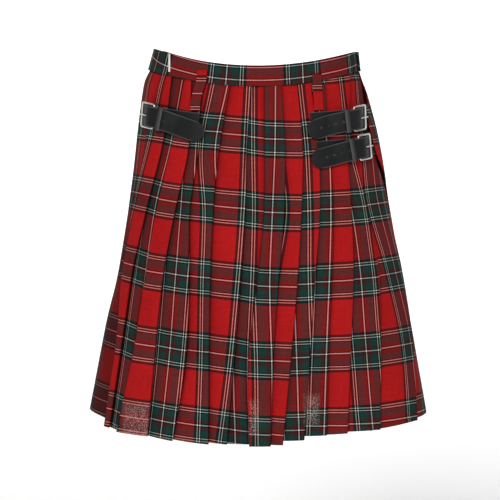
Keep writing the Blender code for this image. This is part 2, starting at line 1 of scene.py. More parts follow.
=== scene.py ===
"""Looks of a red tartan kilt in its worn shape: pleated wool, aprons, black leather straps, wire buckles.

Metres, +Z up, the pleated side towards -Y. Angles run round the body from the middle of the pleated side,
growing towards +X. Cloth sheets are laid row by row on the body's oval rings. They carry their thread places
in a UV map, so the tartan follows every pleat. Leather and cloth strips are shaped flat and then laid along
their lines on the body.
"""

import math

import bmesh
import bpy
from mathutils import Matrix, Vector, noise

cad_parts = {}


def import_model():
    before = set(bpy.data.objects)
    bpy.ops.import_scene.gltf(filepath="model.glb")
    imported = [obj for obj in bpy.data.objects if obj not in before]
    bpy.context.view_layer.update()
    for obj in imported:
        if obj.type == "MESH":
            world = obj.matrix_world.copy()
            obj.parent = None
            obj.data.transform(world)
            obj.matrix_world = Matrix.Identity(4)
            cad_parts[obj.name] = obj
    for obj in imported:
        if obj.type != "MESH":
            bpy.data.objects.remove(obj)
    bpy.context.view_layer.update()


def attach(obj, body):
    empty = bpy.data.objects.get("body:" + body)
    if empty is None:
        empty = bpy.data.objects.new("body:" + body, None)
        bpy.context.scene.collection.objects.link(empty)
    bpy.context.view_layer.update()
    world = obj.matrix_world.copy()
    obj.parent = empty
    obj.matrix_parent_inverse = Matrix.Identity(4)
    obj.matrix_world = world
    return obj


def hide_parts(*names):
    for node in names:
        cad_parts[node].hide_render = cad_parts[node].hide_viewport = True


MM = 0.001

# --- cloth sizes ----------------------------------------------------------------------------------
CLOTH = 1.0 * MM
APRON_CLOTH = 1.2 * MM
BAND_CLOTH = 2.4 * MM
SEAM_GAP = 0.3 * MM
BAND_HEIGHT = 34 * MM
SKIRT_LENGTH = 558 * MM
SETT_ACROSS = 118 * MM
SETT_DOWN = 114 * MM

# millimetres down the skirt from the waist seam, half widths and half depths of its oval, and heights at its
# four quarters; the front of the oval is the pleated side
RING_COLUMNS = ("down", "left", "right", "front", "back", "z_front", "z_left", "z_right", "z_back")
RING_ROWS = [
    (-34, 160, 154, 118, 112, 4.7, 30.9, 26.2, 3.0),
    (0, 170, 157.5, 122, 115, -27.5, -3, -5, -30),
    (18, 178.5, 161.7, 125.0, 117.2, -45.1, -21.7, -23.2, -47.8),
    (55, 184.8, 171.5, 131.5, 122.2, -81.5, -60.8, -61.3, -84.4),
    (100, 190.5, 183, 139, 128, -125.9, -107.3, -107.3, -129),
    (200, 201.5, 202.5, 152, 139, -224.9, -204.0, -204.9, -228),
    (310, 219, 224, 165, 151, -334.0, -310.1, -312.5, -337),
    (430, 244.5, 247, 179, 163, -453.6, -423.9, -429.7, -455),
    (558, 267.5, 270, 193, 176, -580.3, -546.4, -554.4, -581),
]

# --- pleats of the pleated panel ------------------------------------------------------------------
# levels of the skirt, and how many millimetres below the seam each lies
LEVELS = ("seam", "hip", "thigh", "mid", "low", "hem")
LEVEL_DOWNS = (0, 100, 200, 310, 430, 558)
# per fold, in millimetres: how far to the side its edge lies at each level, the depth of its tuck, and which
# of its two faces lies on top
FOLD_COLUMNS = LEVELS + ("tuck", "top_face")
FOLD_ROWS = [
    (-149.7, -174.6, -192.2, -211.8, -222.9, -241.0, 7, "right"),
    (-134.1, -148.0, -171.4, -196.5, -214.9, -233.4, 8, "left"),
    (-112.6, -132.8, -154.9, -174.3, -192.9, -220.0, 8, "right"),
    (-102.7, -106.7, -127.4, -147.0, -159.5, -171, 9, "left"),
    (-86.9, -91.3, -105.2, -106.0, -110.8, -131.9, 12, "left"),
    (-42.1, -59.1, -68.8, -73.1, -74.6, -75.4, 18, "left"),
    (-10, -17, -19, -26, -36, -47, 9, "left"),
    (12, 12, 11, 0, -14, -12, 14, "right"),
    (37.1, 42.6, 41.3, 32.1, 24.2, 20.3, 10, "left"),
    (61.9, 70.1, 68.1, 61.8, 51.4, 39.1, 16, "left"),
    (83.5, 94.7, 97.2, 89.3, 81.0, 72.1, 14, "left"),
    (104.9, 111.9, 118.2, 116.1, 111.0, 107.4, 10, "left"),
    (125.8, 138.2, 146.5, 150.3, 145.7, 140.1, 14, "left"),
    (145.6, 147.6, 170.9, 190.2, 193.4, 191.8, 10, "left"),
    (161.0, 178.5, 206.1, 228.2, 245.3, 251.5, 8, "left"),
]
# per face, in millimetres: how far to the side its white warp line lies at each level, how far below the seam
# its first white weft line meets its left and right edge, and how much longer its hem hangs there
FACE_COLUMNS = LEVELS + ("weft_left", "weft_right", "longer_left", "longer_right")
FACE_ROWS = [
    (-101.9, -123.9, -145, -185, -200, -227, 80, 76, 1, -2),
    (-63.9, -89, -122.8, -152.1, -154.5, -174.7, 73.5, 73, 8, 8),
    (-117.3, -136.2, -159.8, -176.8, -193.8, -212, 74, 75.5, 9, 9),
    (-72.7, -76.4, -98.2, -117.6, -127.9, -139, 75.5, 76, 9.5, 3.5),
    (-105.3, -114.1, -118.9, -127, -136.3, -150.5, 74.8, 74.2, 3.5, 2.8),
    (-45.9, -64.6, -59.3, -62.2, -63.5, -67.5, 74.5, 73.8, 1.5, 0.5),
    (10, 5, 1, -7, -18, -34, 76, 77.4, -1.5, -1.5),
    (-30, -30, -29, -32, -37, -34, 78.9, 82.5, -1.8, -1.8),
    (28, 27, 23, 19, 22, 23, 82.8, 84.5, 0.5, 0.5),
    (2, 11, 20, 3, -11, -17, 85, 87, -1, -1),
    (44, 54, 57.5, 57.5, 61, 64, 85.5, 85.8, -6.5, -6.5),
    (84.1, 108.4, 113.3, 111.1, 106.2, 102, 85.5, 87, -12, -10.5),
    (146, 160.7, 170.5, 175.5, 172.7, 168, 87, 89.5, -10.5, -9),
    (113, 124.1, 147.6, 162.3, 170.1, 178.9, 89.5, 91.5, -10.5, -5.5),
    (160, 176.6, 190, 216, 239.5, 251.3, 90.5, 95, -5, -3.8),
    (138.4, 146.1, 184.7, 207.2, 217.5, 213.6, 93, 98, -4.5, -3),
]
# from this face on, the seam cuts the tartan on a slant
SLANTED_FACES = 11
SLANT = 6 * MM
SLANT_ENDS = 70 * MM
# how far apart a fold's layers lie at the seam and at the hem, and the most of a face that a tuck may reach
FOLD_STEP_SEAM = 1.9 * MM
FOLD_STEP_HEM = 4.2 * MM
TUCK_SHARE = 0.42
FACE_SWELL = 0.6 * MM
# degrees of turn at which a rounded fold gets its points
FOLD_TURNS = (45, 90, 135)
# how far from a fold the painted shade beside it darkens the cloth
PAINTED_SHADE_REACH = 4.5 * MM
# how much painted shade darkens the leftmost face, from 0 to 1, and how slowly the painted shade sets in
SHADED_FACE = 0.85
SHADE_FADE = math.radians(14)
SHADE_DOWN = 120 * MM
PANEL_LEFT_END = math.radians(-105)
PANEL_RIGHT_END = math.radians(100)
FACE_POINTS = 14
PANEL_ROW_PITCH = 5 * MM

# how far the hanging cloth is out of true, from where down the skirt in full, and how much of that is quick
PANEL_WAVE = 2.2 * MM
OVER_APRON_WAVE = 1.4 * MM
UNDER_APRON_WAVE = 0.6 * MM
WAVE_FROM = 250 * MM
QUICK_WAVE = 0.35
QUICK_AT_SEAM = 0.4
# bumps to the metre, across and down the cloth
SLOW_BUMPS = (9, 3.5)
QUICK_BUMPS = (38, 14)
PUCKER_BUMPS = (60, 25)
QUICK_SHIFT = Vector((7, 3, 1))
APRON_SHIFT = Vector((3, 0, 0))

# --- aprons and waistband -------------------------------------------------------------------------
UNDER_FREE_EDGE = math.radians(250)
# gap between the aprons and the pleats at the side seams, and over how many steps an apron takes up its own
# unevenness there
SIDE_SEAM_GAP = 0.35 * MM
APRON_SEAM_STEPS = 12
# the over apron's free edge: where round the body it hangs, and how far out, at each distance down
FREE_EDGE_COLUMNS = ("down", "angle_deg", "out_mm")
FREE_EDGE_ROWS = [
    (0, 96, 7.2),
    (25, 92, 8.8),
    (45, 80, 9.8),
    (60, 72.5, 10.2),
    (85, 70.6, 10.3),
    (110, 71.6, 10.2),
    (135, 74.5, 9.9),
    (155, 82, 9.2),
    (180, 93, 8.4),
    (310, 96, 6.8),
    (558, 98, 6.6),
]
APRON_ROW_PITCH = 9 * MM
APRON_STEPS = 110
# an apron leaves the waistband's line over this height
APRON_RISE = 30 * MM
# the over apron is out by its whole amount after this share of its way, along a curve of this power
OVER_APRON_OUT_BY = 0.8
OVER_APRON_CURVE = 1.2
UNDER_APRON_OUT = -2.6 * MM
# how far below the seam an apron's first white weft line runs and how much lower it sags, in millimetres, and
# how much of the widening towards the hem its warp lines follow
APRON_SIDE_LINE = 74
APRON_LINE_DROP = 15
APRON_FLARE = 0.35
OVER_APRON_PHASE = 0.0
UNDER_APRON_PHASE = 0.3
# the waistband's middle stands this far out over the pleats. It starts over its own other end, which lies
# inside it, and runs to the under apron's free edge
BAND_OUT = 3.4 * MM
BAND_START = math.radians(-276)
BAND_OUT_COLUMNS = ("angle", "out")
BAND_OUT_ROWS = [
    (BAND_START, 7.0 * MM),
    (math.radians(-180), 5.6 * MM),
    (PANEL_LEFT_END, BAND_OUT),
    (PANEL_RIGHT_END, BAND_OUT),
    (math.radians(252), -1.0 * MM),
]
BAND_STEPS = 300
BAND_ROWS = 10
BAND_HEM_GAP = 0.1 * MM
BAND_PUCKER = 0.35 * MM
BAND_WHITE_LINE = -47.5 * MM
# how far below its top the waistband's white weft line runs
BAND_LINE_COLUMNS = ("angle_deg", "below_top_mm")
BAND_LINES = [
    (-276, 25),
    (-110, 12),
    (-90, 11),
    (-76, 14.5),
    (-62, 19),
    (-45, 22),
    (-20, 24.5),
    (60, 24),
    (84, 22),
    (252, 25),
]
# the waistband's cloth is eased at its left end, by this share of a repeat
BAND_STRETCH = 0.14
BAND_STRETCH_FROM = math.radians(-35)
BAND_STRETCH_OVER = math.radians(30)
# a bar of white stitches on the waistband
BAR_SIDE = -138 * MM
BAR_HEIGHT = 9 * MM
BAR_WIDTH = 3 * MM
BAR_LENGTH = 29 * MM

# --- leather and metal ----------------------------------------------------------------------------
# every distance "out" or "on cloth" is from the body's rings to the middle of the leather or wire
STRAP_WIDTH = 32 * MM
STRAP_LEATHER = 2.0 * MM
CHAPE_LEATHER = 1.5 * MM
KEEPER_LEATHER = 1.3 * MM
BUCKLE_WIRE = 1.4 * MM
BUCKLE_HEIGHT = 38 * MM
BUCKLE_LENGTH = 29.5 * MM
BUCKLE_CORNER = 2.6 * MM
BUCKLE_HEEL_OUT = 9.7 * MM
BUCKLE_TOE_OUT = 10.9 * MM
KEEPER_OUT = 13.2 * MM
KEEPER_HEIGHT = 7.4 * MM
PRONG_WIRE = 1.0 * MM
PRONG_SLOT_PLACE = 11 * MM
PRONG_SLOT_LENGTH = 15 * MM
PRONG_SLOT_WIDTH = 5 * MM
HOLE_RADIUS = 1.2 * MM
HOLE_PITCH = 13 * MM
LEATHER_ON_CLOTH = 7.2 * MM
CHAPE_ON_CLOTH = 7.0 * MM
# wire is round, with this many sides
WIRE_SIDES = 14
WIRE_SMOOTH_ANGLE = math.radians(50)
# the prong's hook: its clearance round the heel bar, where it starts and how far it turns, in degrees
PRONG_BAR_GAP = 0.45 * MM
PRONG_HOOK_FROM = -145
PRONG_HOOK_TURN = 265
PRONG_HOOK_STEPS = 19
# the prong past its hook, from the heel bar to its tip: how far on, how far out, and share of its thickness
PRONG_COLUMNS = ("past_heel_mm", "out_mm", "thickness")
PRONG_ROWS = [
    (3.2, 1.8, 1.0),
    (6, 1.3, 1.0),
    (12, 1.5, 1.0),
    (14.75, 1.9, 1.0),
    (23.5, 2.6, 1.0),
    (27.5, 2.85, 1.0),
    (30.5, 2.75, 1.0),
    (32.3, 2.65, 0.9),
    (32.9, 2.6, 0.55),
]
HOLE_SIDES = 18
HOLE_RIM = 0.2 * MM
CUT_DEPTH = 20 * MM
WORN_EDGE = 1.6 * MM
# strips of leather and cloth: the pitch of their grid, and how their edges are rounded
STRIP_PITCH = 2 * MM
STRIP_BEVEL_SHARE = 0.3
STRIP_BEVEL_ANGLE = math.radians(50)
STRIP_SMOOTH_ANGLE = math.radians(40)
STRAP_STEPS = 110
CHAPE_PITCH = 1.2 * MM
CHAPE_STEPS = 24
CHAPE_TURN_STEPS = 12
# how much a chape's sewn end keeps the strap's direction and not the cloth's
CHAPE_LEVEL_SHARE = 0.4
CHAPE_BAR_GAP = 0.4 * MM
CHAPE_SLOT_LENGTH = 13 * MM
CHAPE_SLOT_WIDTH = 8 * MM
# a chape's top layer runs from this many millimetres past the outer bar to this far past the keeper
CHAPE_TOP_FROM = 42
CHAPE_PAST_KEEPER = 3
KEEPER_SLACK = 1.6 * MM
KEEPER_BEVEL = 0.45 * MM
KEEPER_WORN = 0.6 * MM
KEEPER_SMOOTH_ANGLE = math.radians(25)
# a face whose normal runs this nearly along the strap is an end face
ENDWAYS = 0.9
# where each strap runs: angles in degrees and heights in millimetres at its stations, the chape's sewn end,
# how far out its root lies, its turn in degrees, and the keeper and holes in millimetres past the outer bar
STATIONS = ("root", "bar", "keeper", "middle", "shoulder", "tip")
STATION_STEPS = 12
STRAPS = {
    "left": {
        "angles": (-69.4, -66.6, -50.1, -39.5, -30.4, -25.4),
        "heights": (-71.2, -72.0, -79.1, -88.8, -97.5, -102.5),
        "chape_end": (-28.5, -85.0),
        "root_out": 6.9,
        "turn": 8,
        "keeper": (41.5, 51.5),
        "first_hole": 56,
        "holes": 1,
    },
    "right_upper": {
        "angles": (87, 65.0, 47.6, 37.0, 28.5, 25.3),
        "heights": (-71.5, -76.3, -82.5, -88.8, -96.0, -98.5),
        "chape_end": (28.3, -84.0),
        "root_out": 7.2,
        "turn": 16,
        "keeper": (41.5, 51.5),
        "first_hole": 53,
        "holes": 4,
    },
    "right_lower": {
        "angles": (87, 65.0, 48.4, 38.2, 29.2, 25.9),
        "heights": (-118, -121.8, -127.5, -134.5, -140.8, -143.0),
        "chape_end": (29.8, -128.6),
        "root_out": 7.2,
        "turn": 8,
        "keeper": (43, 53),
        "first_hole": 54.5,
        "holes": 4,
    },
}
# each strap is turned about its own length, its top edge outwards: by its whole turn under the frame, and not
# at all from this far before the outer bar and this far past the heel bar
TURN_BEFORE = 12 * MM
TURN_PAST = 50 * MM
STRAP_PROFILE_COLUMNS = ("distance_mm", "out_mm")
STRAP_PROFILE = [
    (0, 7.2),
    (3.5, 7.6),
    (9, 9.9),
    (16, 13.0),
    (24, 14.8),
    (33, 15.1),
]
PAST_KEEPER_COLUMNS = ("past_mm", "out_mm")
PAST_KEEPER = [
    (2, 14.9),
    (10, 13.2),
    (24, 10.4),
    (38, 9.7),
]
# how far before the tip, and the share of the strap's half width left there
TIP_SHAPE_COLUMNS = ("before_tip_mm", "width_share")
TIP_SHAPE = [(0, 0.3), (1.2, 0.45), (3.5, 0.64), (8, 0.85), (15, 0.97), (24, 1.0)]

LOOP_WIDTH = 16.5 * MM
LOOP_CLOTH = 1.3 * MM
LOOP_STEPS = 40
# about how far out a loop stands, and the angle to either side over which its slope is measured
LOOP_OUT = 8 * MM
LOOP_SLOPE_ANGLE = 0.01
# how far down a belt loop its white weft line runs, and which thread of the repeat runs down its middle
LOOP_WHITE_LINES = {"left": 38 * MM, "right": -1 * MM}
LOOP_THREADS = 0.36
# where a loop's middle runs, in millimetres
LOOP_COLUMNS = ("side", "height", "out")
LOOPS = {
    "left": [
        (-90, -3, 5.9),
        (-90.6, -9, 7.2),
        (-92, -21, 8.3),
        (-95, -37, 8.4),
        (-98, -56, 7.4),
        (-99, -66, 6.4),
    ],
    "right": [
        (96, -8, 5.9),
        (96, -13, 7.2),
        (96.3, -23, 8.3),
        (97.2, -37, 8.4),
        (99, -55, 7.4),
        (99.5, -65, 6.4),
    ],
}

# --- the tartan -----------------------------------------------------------------------------------
YARNS = {
    "white": (0.62, 0.68, 0.63),
    "yellow": (0.56, 0.54, 0.38),
    "black": (0.0010, 0.0006, 0.0005),
    "navy": (0.0028, 0.0040, 0.0065),
    "green": (0.007, 0.028, 0.024),
    "wine": (0.046, 0.0080, 0.0074),
    "red": (0.31, 0.0062, 0.0068),
}
# crossed yarns look darker than their plain average, so they are averaged at this power
YARN_POWER = 0.32
# where each yarn starts, as a share of one repeat from the middle of its white line
THREAD_CHART = [
    (0.000, "white"),
    (0.0065, "black"),
    (0.020, "wine"),
    (0.068, "green"),
    (0.158, "black"),
    (0.174, "white"),
    (0.184, "black"),
    (0.209, "yellow"),
    (0.219, "navy"),
    (0.258, "red"),
]

# --- unevenness and wear --------------------------------------------------------------------------
# how the brightness of the wool wanders: from stray fibres, in slow clouds, and from yarn to yarn
UNEVEN_COLUMNS = ("scale", "detail", "roughness", "swing", "least")
UNEVEN_LOOKS = {
    "fuzz": (420.0, 2.0, 0.7, 0.5, 0.75),
    "cloud": (14.0, 3.0, 0.6, 0.36, 0.83),
    "yarn": (1.0, 2.0, 0.6, 0.5, 0.75),
}
# patches where the cloth has worn thin near the hem, and the width of their soft edge, in millimetres
THIN_COLUMNS = ("x_low", "x_high", "z_low", "z_high")
THIN_PATCHES = [(-212, -165, -585, -520), (-14, 4, -565, -508), (70, 98, -552, -500)]
THIN_FADE = 8
# uneven yarns to one repeat of the tartan, across and down
WARP_STREAKS = (75, 3, 1)
WEFT_STREAKS = (3, 60, 1)
# how strongly the painted shade beside folds, in tucks and on the leftmost face darkens the cloth
PAINTED_SHADE_STRENGTH = 0.68
SPECK_LEVEL = 0.54
SPECK_STRENGTH = 0.5
WORN_WOOL = (0.42, 0.30, 0.28, 1)
BAR_STITCHES = (0.62, 0.62, 0.58, 1)
DEEP_LEATHER = (0.004, 0.0044, 0.0048, 1)
OPEN_LEATHER = (0.010, 0.0104, 0.011, 1)
WORN_LEATHER = (0.12, 0.12, 0.125, 1)
LEATHER_WEAR = 0.5
DULL_NICKEL = (0.62, 0.60, 0.56, 1)
BRIGHT_NICKEL = (0.86, 0.85, 0.82, 1)

# --- camera and light -----------------------------------------------------------------------------
CAMERA_AT = Vector((-0.0112, -4.5, 0.02))
CAMERA_AIM = Vector((-0.0112, 0, -0.2912))
CAMERA_LENS = 202.5
CAMERA_SENSOR = 36
SKY_POWER = 0.22
SUN_POWER = 2.3
SUN_SPREAD = math.radians(16)
SUN_WAY = Vector((0.22, 1.0, -0.42))
FILL_AT = Vector((1.8, -3.4, 1.2))
FILL_AIM = Vector((0, 0, -0.3))
FILL_SIZE = 2.0
FILL_POWER = 30
FLOOR_HEIGHT = -1.0
STAGE_HALF = 9.0
STAGE_BEND_FROM = 6.0
STAGE_BEND = 2.0
STAGE_STEPS = 12

# --- measuring ------------------------------------------------------------------------------------
# a height or an angle is found by halving its range this many times
HEIGHT_HALVINGS = 22
ANGLE_HALVINGS = 24
# the pleated side's widest angle, and half the height over which the cloth's slope is measured
SIDEWAYS = math.radians(86)
SLOPE_REACH = 5 * MM
# cloth is measured round a ring to this many degrees on either side of the centre line
ARC_REACH = 300


# --- body rings -----------------------------------------------------------------------------------
def between(first, last, share):
    return first + (last - first) * share


def zero_to_one(value):
    return max(0.0, min(1.0, value))


def smooth_rows(place, places, values):
    """Value at a place between table rows, on a smooth curve through them all."""
    last = len(places) - 1
    if place <= places[0]:
        return values[0] + (place - places[0]) * (values[1] - values[0]) / (places[1] - places[0])
    if place >= places[last]:
        return values[last]
    row = max(i for i in range(last) if places[i] <= place)
    span = places[row + 1] - places[row]
    share = (place - places[row]) / span

    def slope(i):
        low, high = max(i - 1, 0), min(i + 1, last)
        return (values[high] - values[low]) / (places[high] - places[low])

    square, cube = share * share, share * share * share
    return (
        (2 * cube - 3 * square + 1) * values[row]
        + (cube - 2 * square + share) * span * slope(row)
        + (3 * square - 2 * cube) * values[row + 1]
        + (cube - square) * span * slope(row + 1)
    )


def column(rows, columns, name):
    return [row[columns.index(name)] for row in rows]


def named_rows(rows, columns):
    return [dict(zip(columns, row)) for row in rows]


RING_DOWNS = column(RING_ROWS, RING_COLUMNS, "down")
RING_VALUES = {name: column(RING_ROWS, RING_COLUMNS, name) for name in RING_COLUMNS}
FOLDS = named_rows(FOLD_ROWS, FOLD_COLUMNS)
FACES = named_rows(FACE_ROWS, FACE_COLUMNS)
UNEVEN = {name: dict(zip(UNEVEN_COLUMNS, row)) for name, row in UNEVEN_LOOKS.items()}
known_rings = {}
known_arcs = {}


def ring(down):
    """Half widths, half depths and heights of one row of cloth, in metres."""
    key = round(down, 6)
    if key not in known_rings:
        sizes = {name: smooth_rows(key / MM, RING_DOWNS, RING_VALUES[name]) * MM for name in RING_COLUMNS[1:]}
        known_rings[key] = sizes
    return known_rings[key]


def half_sizes(angle, down):
    """Half width and half depth of the quarter of the ring that an angle is in."""
    sizes = ring(down)
    wide = sizes["right" if math.sin(angle) >= 0 else "left"]
    deep = sizes["front" if math.cos(angle) >= 0 else "back"]
    return wide, deep


def ring_height(angle, down):
    """Height of a ring at an angle; a ring sags between the hips."""
    sizes = ring(down)
    turn, level = math.sin(angle), math.cos(angle)
    side = (sizes["z_left"] + sizes["z_right"]) / 2 + (sizes["z_right"] - sizes["z_left"]) / 2 * turn
    middle = sizes["z_front" if level >= 0 else "z_back"]
    return side + (middle - side) * level * level


def out_normal(angle, down):
    wide, deep = half_sizes(angle, down)
    return Vector((math.sin(angle) / wide, -math.cos(angle) / deep, 0)).normalized()


def on_body(angle, down, out):
    """Point at an angle on a ring, this far out from it."""
    wide, deep = half_sizes(angle, down)
    base = Vector((wide * math.sin(angle), -deep * math.cos(angle), ring_height(angle, down)))
    return base + out_normal(angle, down) * out


def down_at_height(angle, height):
    """How far down the skirt the cloth has this height at an angle."""
    low, high = -BAND_HEIGHT, SKIRT_LENGTH
    for _ in range(HEIGHT_HALVINGS):
        middle = (low + high) / 2
        if ring_height(angle, middle) > height:
            low = middle
        else:
            high = middle
    return (low + high) / 2


def at_height(angle, height, out):
    return on_body(angle, down_at_height(angle, height), out)


def up_the_cloth(angle, height):
    above, below = at_height(angle, height + SLOPE_REACH, 0), at_height(angle, height - SLOPE_REACH, 0)
    return (above - below).normalized()


def metres_per_radian(angle, down):
    """Length of cloth round a ring for each radian of angle."""
    wide, deep = half_sizes(angle, down)
    return math.hypot(wide * math.cos(angle), deep * math.sin(angle))


def arc_table(down, side):
    """Length of cloth from the centre line to each whole degree, to the right (1) or to the left (-1)."""
    lengths = [0.0]
    for degree in range(ARC_REACH):
        rate = metres_per_radian(math.radians(side * (degree + 0.5)), down)
        lengths.append(lengths[-1] + rate * math.radians(1))
    return lengths


def arc(angle, down):
    """Length of cloth round the ring from the centre line to an angle."""
    key = round(down, 6)
    if key not in known_arcs:
        known_arcs[key] = {side: arc_table(down, side) for side in (1, -1)}
    side = 1 if angle >= 0 else -1
    lengths = known_arcs[key][side]
    place = min(abs(math.degrees(angle)), ARC_REACH - 1)
    low = int(place)
    return side * between(lengths[low], lengths[low + 1], place - low)


def angle_at(distance, down, out):
    """Angle at which cloth at this distance out stands this far to the side."""
    low, high = -SIDEWAYS, SIDEWAYS
    for _ in range(ANGLE_HALVINGS):
        middle = (low + high) / 2
        if on_body(middle, down, out).x < distance:
            low = middle
        else:
            high = middle
    return (low + high) / 2


# --- cloth sheets ---------------------------------------------------------------------------------
def new_object(name, data):
    thing = bpy.data.objects.new(name, data)
    bpy.context.scene.collection.objects.link(thing)
    return thing


def select_only(piece):
    bpy.ops.object.select_all(action="DESELECT")
    piece.select_set(True)
    bpy.context.view_layer.objects.active = piece


def row_length(points):
    return sum((b - a).length for a, b in zip(points, points[1:]))


def cloth_object(name, grid, threads, thickness, marks=()):
    """Open sheet from rows of points with thread places, given its wall."""
    mesh = bpy.data.meshes.new(name)
    wide = len(grid[0])
    points = [point for row in grid for point in row]
    faces = []
    for r in range(len(grid) - 1):
        for c in range(wide - 1):
            a = r * wide + c
            faces.append((a, a + wide, a + wide + 1, a + 1))
    mesh.from_pydata(points, [], faces)
    layer = mesh.uv_layers.new(name="threads")
    flat_threads = [place for row in threads for place in row]
    for loop in mesh.loops:
        layer.data[loop.index].uv = flat_threads[loop.vertex_index]
    for mark, rows in marks:
        amount = mesh.attributes.new(mark, "FLOAT", "POINT")
        amount.data.foreach_set("value", [value for row in rows for value in row])
    mesh.update()
    mesh.polygons.foreach_set("use_smooth", [True] * len(mesh.polygons))
    piece = new_object(name, mesh)
    wall = piece.modifiers.new("wall", "SOLIDIFY")
    wall.thickness = thickness
    wall.offset = 0
    wall.use_even_offset = True
    wall.use_quality_normals = True
    apply_modifiers(piece)
    return piece


def apply_modifiers(piece):
    select_only(piece)
    for modifier in list(piece.modifiers):
        bpy.ops.object.modifier_apply(modifier=modifier.name)


def fold_step(down):
    """How far apart a fold's layers lie."""
    return FOLD_STEP_SEAM + (FOLD_STEP_HEM - FOLD_STEP_SEAM) * down / SKIRT_LENGTH


def down_the_skirt(row, down):
    """A row's value at a distance down the skirt, from its numbers at the levels."""
    return smooth_rows(down / MM, LEVEL_DOWNS, [row[level] for level in LEVELS]) * MM


def stripe_place(face, down):
    """Length of cloth from the centre line to a face's white warp line."""
    return arc(angle_at(down_the_skirt(FACES[face], down), down, fold_step(down)), down)


def fold_edges(down):
    """Angle of each fold in one row, at the middle of its rounded edge."""
    step = fold_step(down)
    edges = []
    for fold in FOLDS:
        edge = angle_at(down_the_skirt(fold, down), down, 1.5 * step)
        round_off = step / 2 / metres_per_radian(edge, down)
        edges.append(edge - round_off if fold["top_face"] == "left" else edge + round_off)
    return edges


def on_top(fold, side):
    """Whether a fold's face on this side lies over the other one."""
    return 0 <= fold < len(FOLDS) and FOLDS[fold]["top_face"] == side


def face_points(face, start, end, down):
    """The showing cloth of one face in a row, from its left edge to its right one."""
    high = 2 * fold_step(down)
    first_out = high if on_top(face - 1, "right") else 0
    last_out = high if on_top(face, "left") else 0
    stripe = stripe_place(face, down)
    points = []
    for i in range(FACE_POINTS):
        share = i / (FACE_POINTS - 1)
        angle = between(start, end, share)
        out = between(first_out, last_out, share) + FACE_SWELL * math.sin(math.pi * share)
        # painted shade: darkest next to a fold whose other face lies on top, and over the lower part of the
        # leftmost face
        near = angle - start if on_top(face - 1, "left") else 1.0
        far = end - angle if on_top(face, "right") else 1.0
        depth = math.exp(-min(near, far) * metres_per_radian(angle, down) / PAINTED_SHADE_REACH)
        if face == 0:
            shade = min(1.0, (angle - start) / SHADE_FADE) * zero_to_one(down / SHADE_DOWN - 1)
            depth = max(depth, SHADED_FACE * shade)
        points.append((angle, out, (arc(angle, down) - stripe) / SETT_ACROSS, face, share, depth))
    return points


def fold_points(face, bounds, down):
    """The rounded fold and the tuck at the right edge of one face in a row."""
    start, end = bounds[face], bounds[face + 1]
    step = fold_step(down)
    high = 2 * step
    rate = metres_per_radian(end, down)
    round_off = step / 2 / rate
    tuck = FOLDS[face]["tuck"] * MM / rate
    here = (arc(end, down) - stripe_place(face, down)) / SETT_ACROSS
    there = (arc(end, down) - stripe_place(face + 1, down)) / SETT_ACROSS
    left_on_top = on_top(face, "left")
    # each point ends with its painted shade, growing round the fold and full in the tuck
    rounded = []
    for turn in FOLD_TURNS:
        bend = math.radians(turn)
        out = high - step / 2 * (1 - math.cos(bend))
        side = round_off * math.sin(bend)
        cloth = step / 2 * bend / SETT_ACROSS
        if left_on_top:
            rounded.append((end + side, out, here + cloth, face, 1.0, turn / 180))
        else:
            rounded.append((end - side, out, there - cloth, face + 1, 0.0, turn / 180))
    half_round = step / 2 * math.pi / SETT_ACROSS
    if left_on_top:
        reach = min(tuck, (end - start) * TUCK_SHARE)
        hidden = reach * rate / SETT_ACROSS
        first_out = high if on_top(face - 1, "right") else 0
        lean = (high - first_out) * reach / (end - start)
        here += half_round
        return rounded + [
            (end, high - step, here, face, 1.0, 1.0),
            (end - reach, high - step - lean, here + hidden, face, 1.0, 1.0),
            (end - reach - round_off, high - 1.5 * step - lean, there - hidden, face + 1, 0.0, 1.0),
            (end - reach, -lean, there - hidden, face + 1, 0.0, 1.0),
        ]
    reach = min(tuck, (bounds[face + 2] - end) * TUCK_SHARE)
    hidden = reach * rate / SETT_ACROSS
    under = there - half_round
    return [
        (end + reach, 0, here + hidden, face, 1.0, 1.0),
        (end + reach + round_off, step / 2, here + hidden, face, 1.0, 1.0),
        (end + reach, step, under - hidden, face + 1, 0.0, 1.0),
        (end, step, under, face + 1, 0.0, 1.0),
    ] + rounded[::-1]


def pleat_path(down):
    """One row of the pleated cloth.

    Each point has its angle, distance out, thread place across, face, share of the way over that face, and
    how much painted shade darkens it.
    """
    bounds = [PANEL_LEFT_END] + fold_edges(down) + [PANEL_RIGHT_END]
    path = []
    for face in range(len(FACES)):
        path += face_points(face, bounds[face], bounds[face + 1], down)
        if face < len(FOLDS):
            path += fold_points(face, bounds, down)
    return path


def uneven(point, bumps, shift=Vector()):
    """Smooth unevenness with this many bumps to the metre across and down the cloth."""
    across, down = bumps
    return noise.noise(Vector((point.x * across, point.y * across, point.z * down)) + shift)


def cloth_wave(point, down, amount):
    """Slow unevenness of hanging cloth, none at the seam, with a little quick unevenness everywhere."""
    hang = min(1.0, down / WAVE_FROM)
    slow = uneven(point, SLOW_BUMPS)
    quick = uneven(point, QUICK_BUMPS, QUICK_SHIFT)
    return amount * (hang * slow + QUICK_WAVE * between(QUICK_AT_SEAM, 1.0, hang) * quick)


def rows_down(pitch):
    count = round(SKIRT_LENGTH / pitch)
    return [SKIRT_LENGTH * i / count for i in range(count + 1)]


def thinness(point):
    """How worn a point is: 1 inside a patch, fading to 0 at its edges."""
    total = 0.0
    for patch in named_rows(THIN_PATCHES, THIN_COLUMNS):
        beside = min(point.x / MM - patch["x_low"], patch["x_high"] - point.x / MM)
        upright = min(point.z / MM - patch["z_low"], patch["z_high"] - point.z / MM)
        total = max(total, zero_to_one(min(beside, upright) / THIN_FADE))
    return total


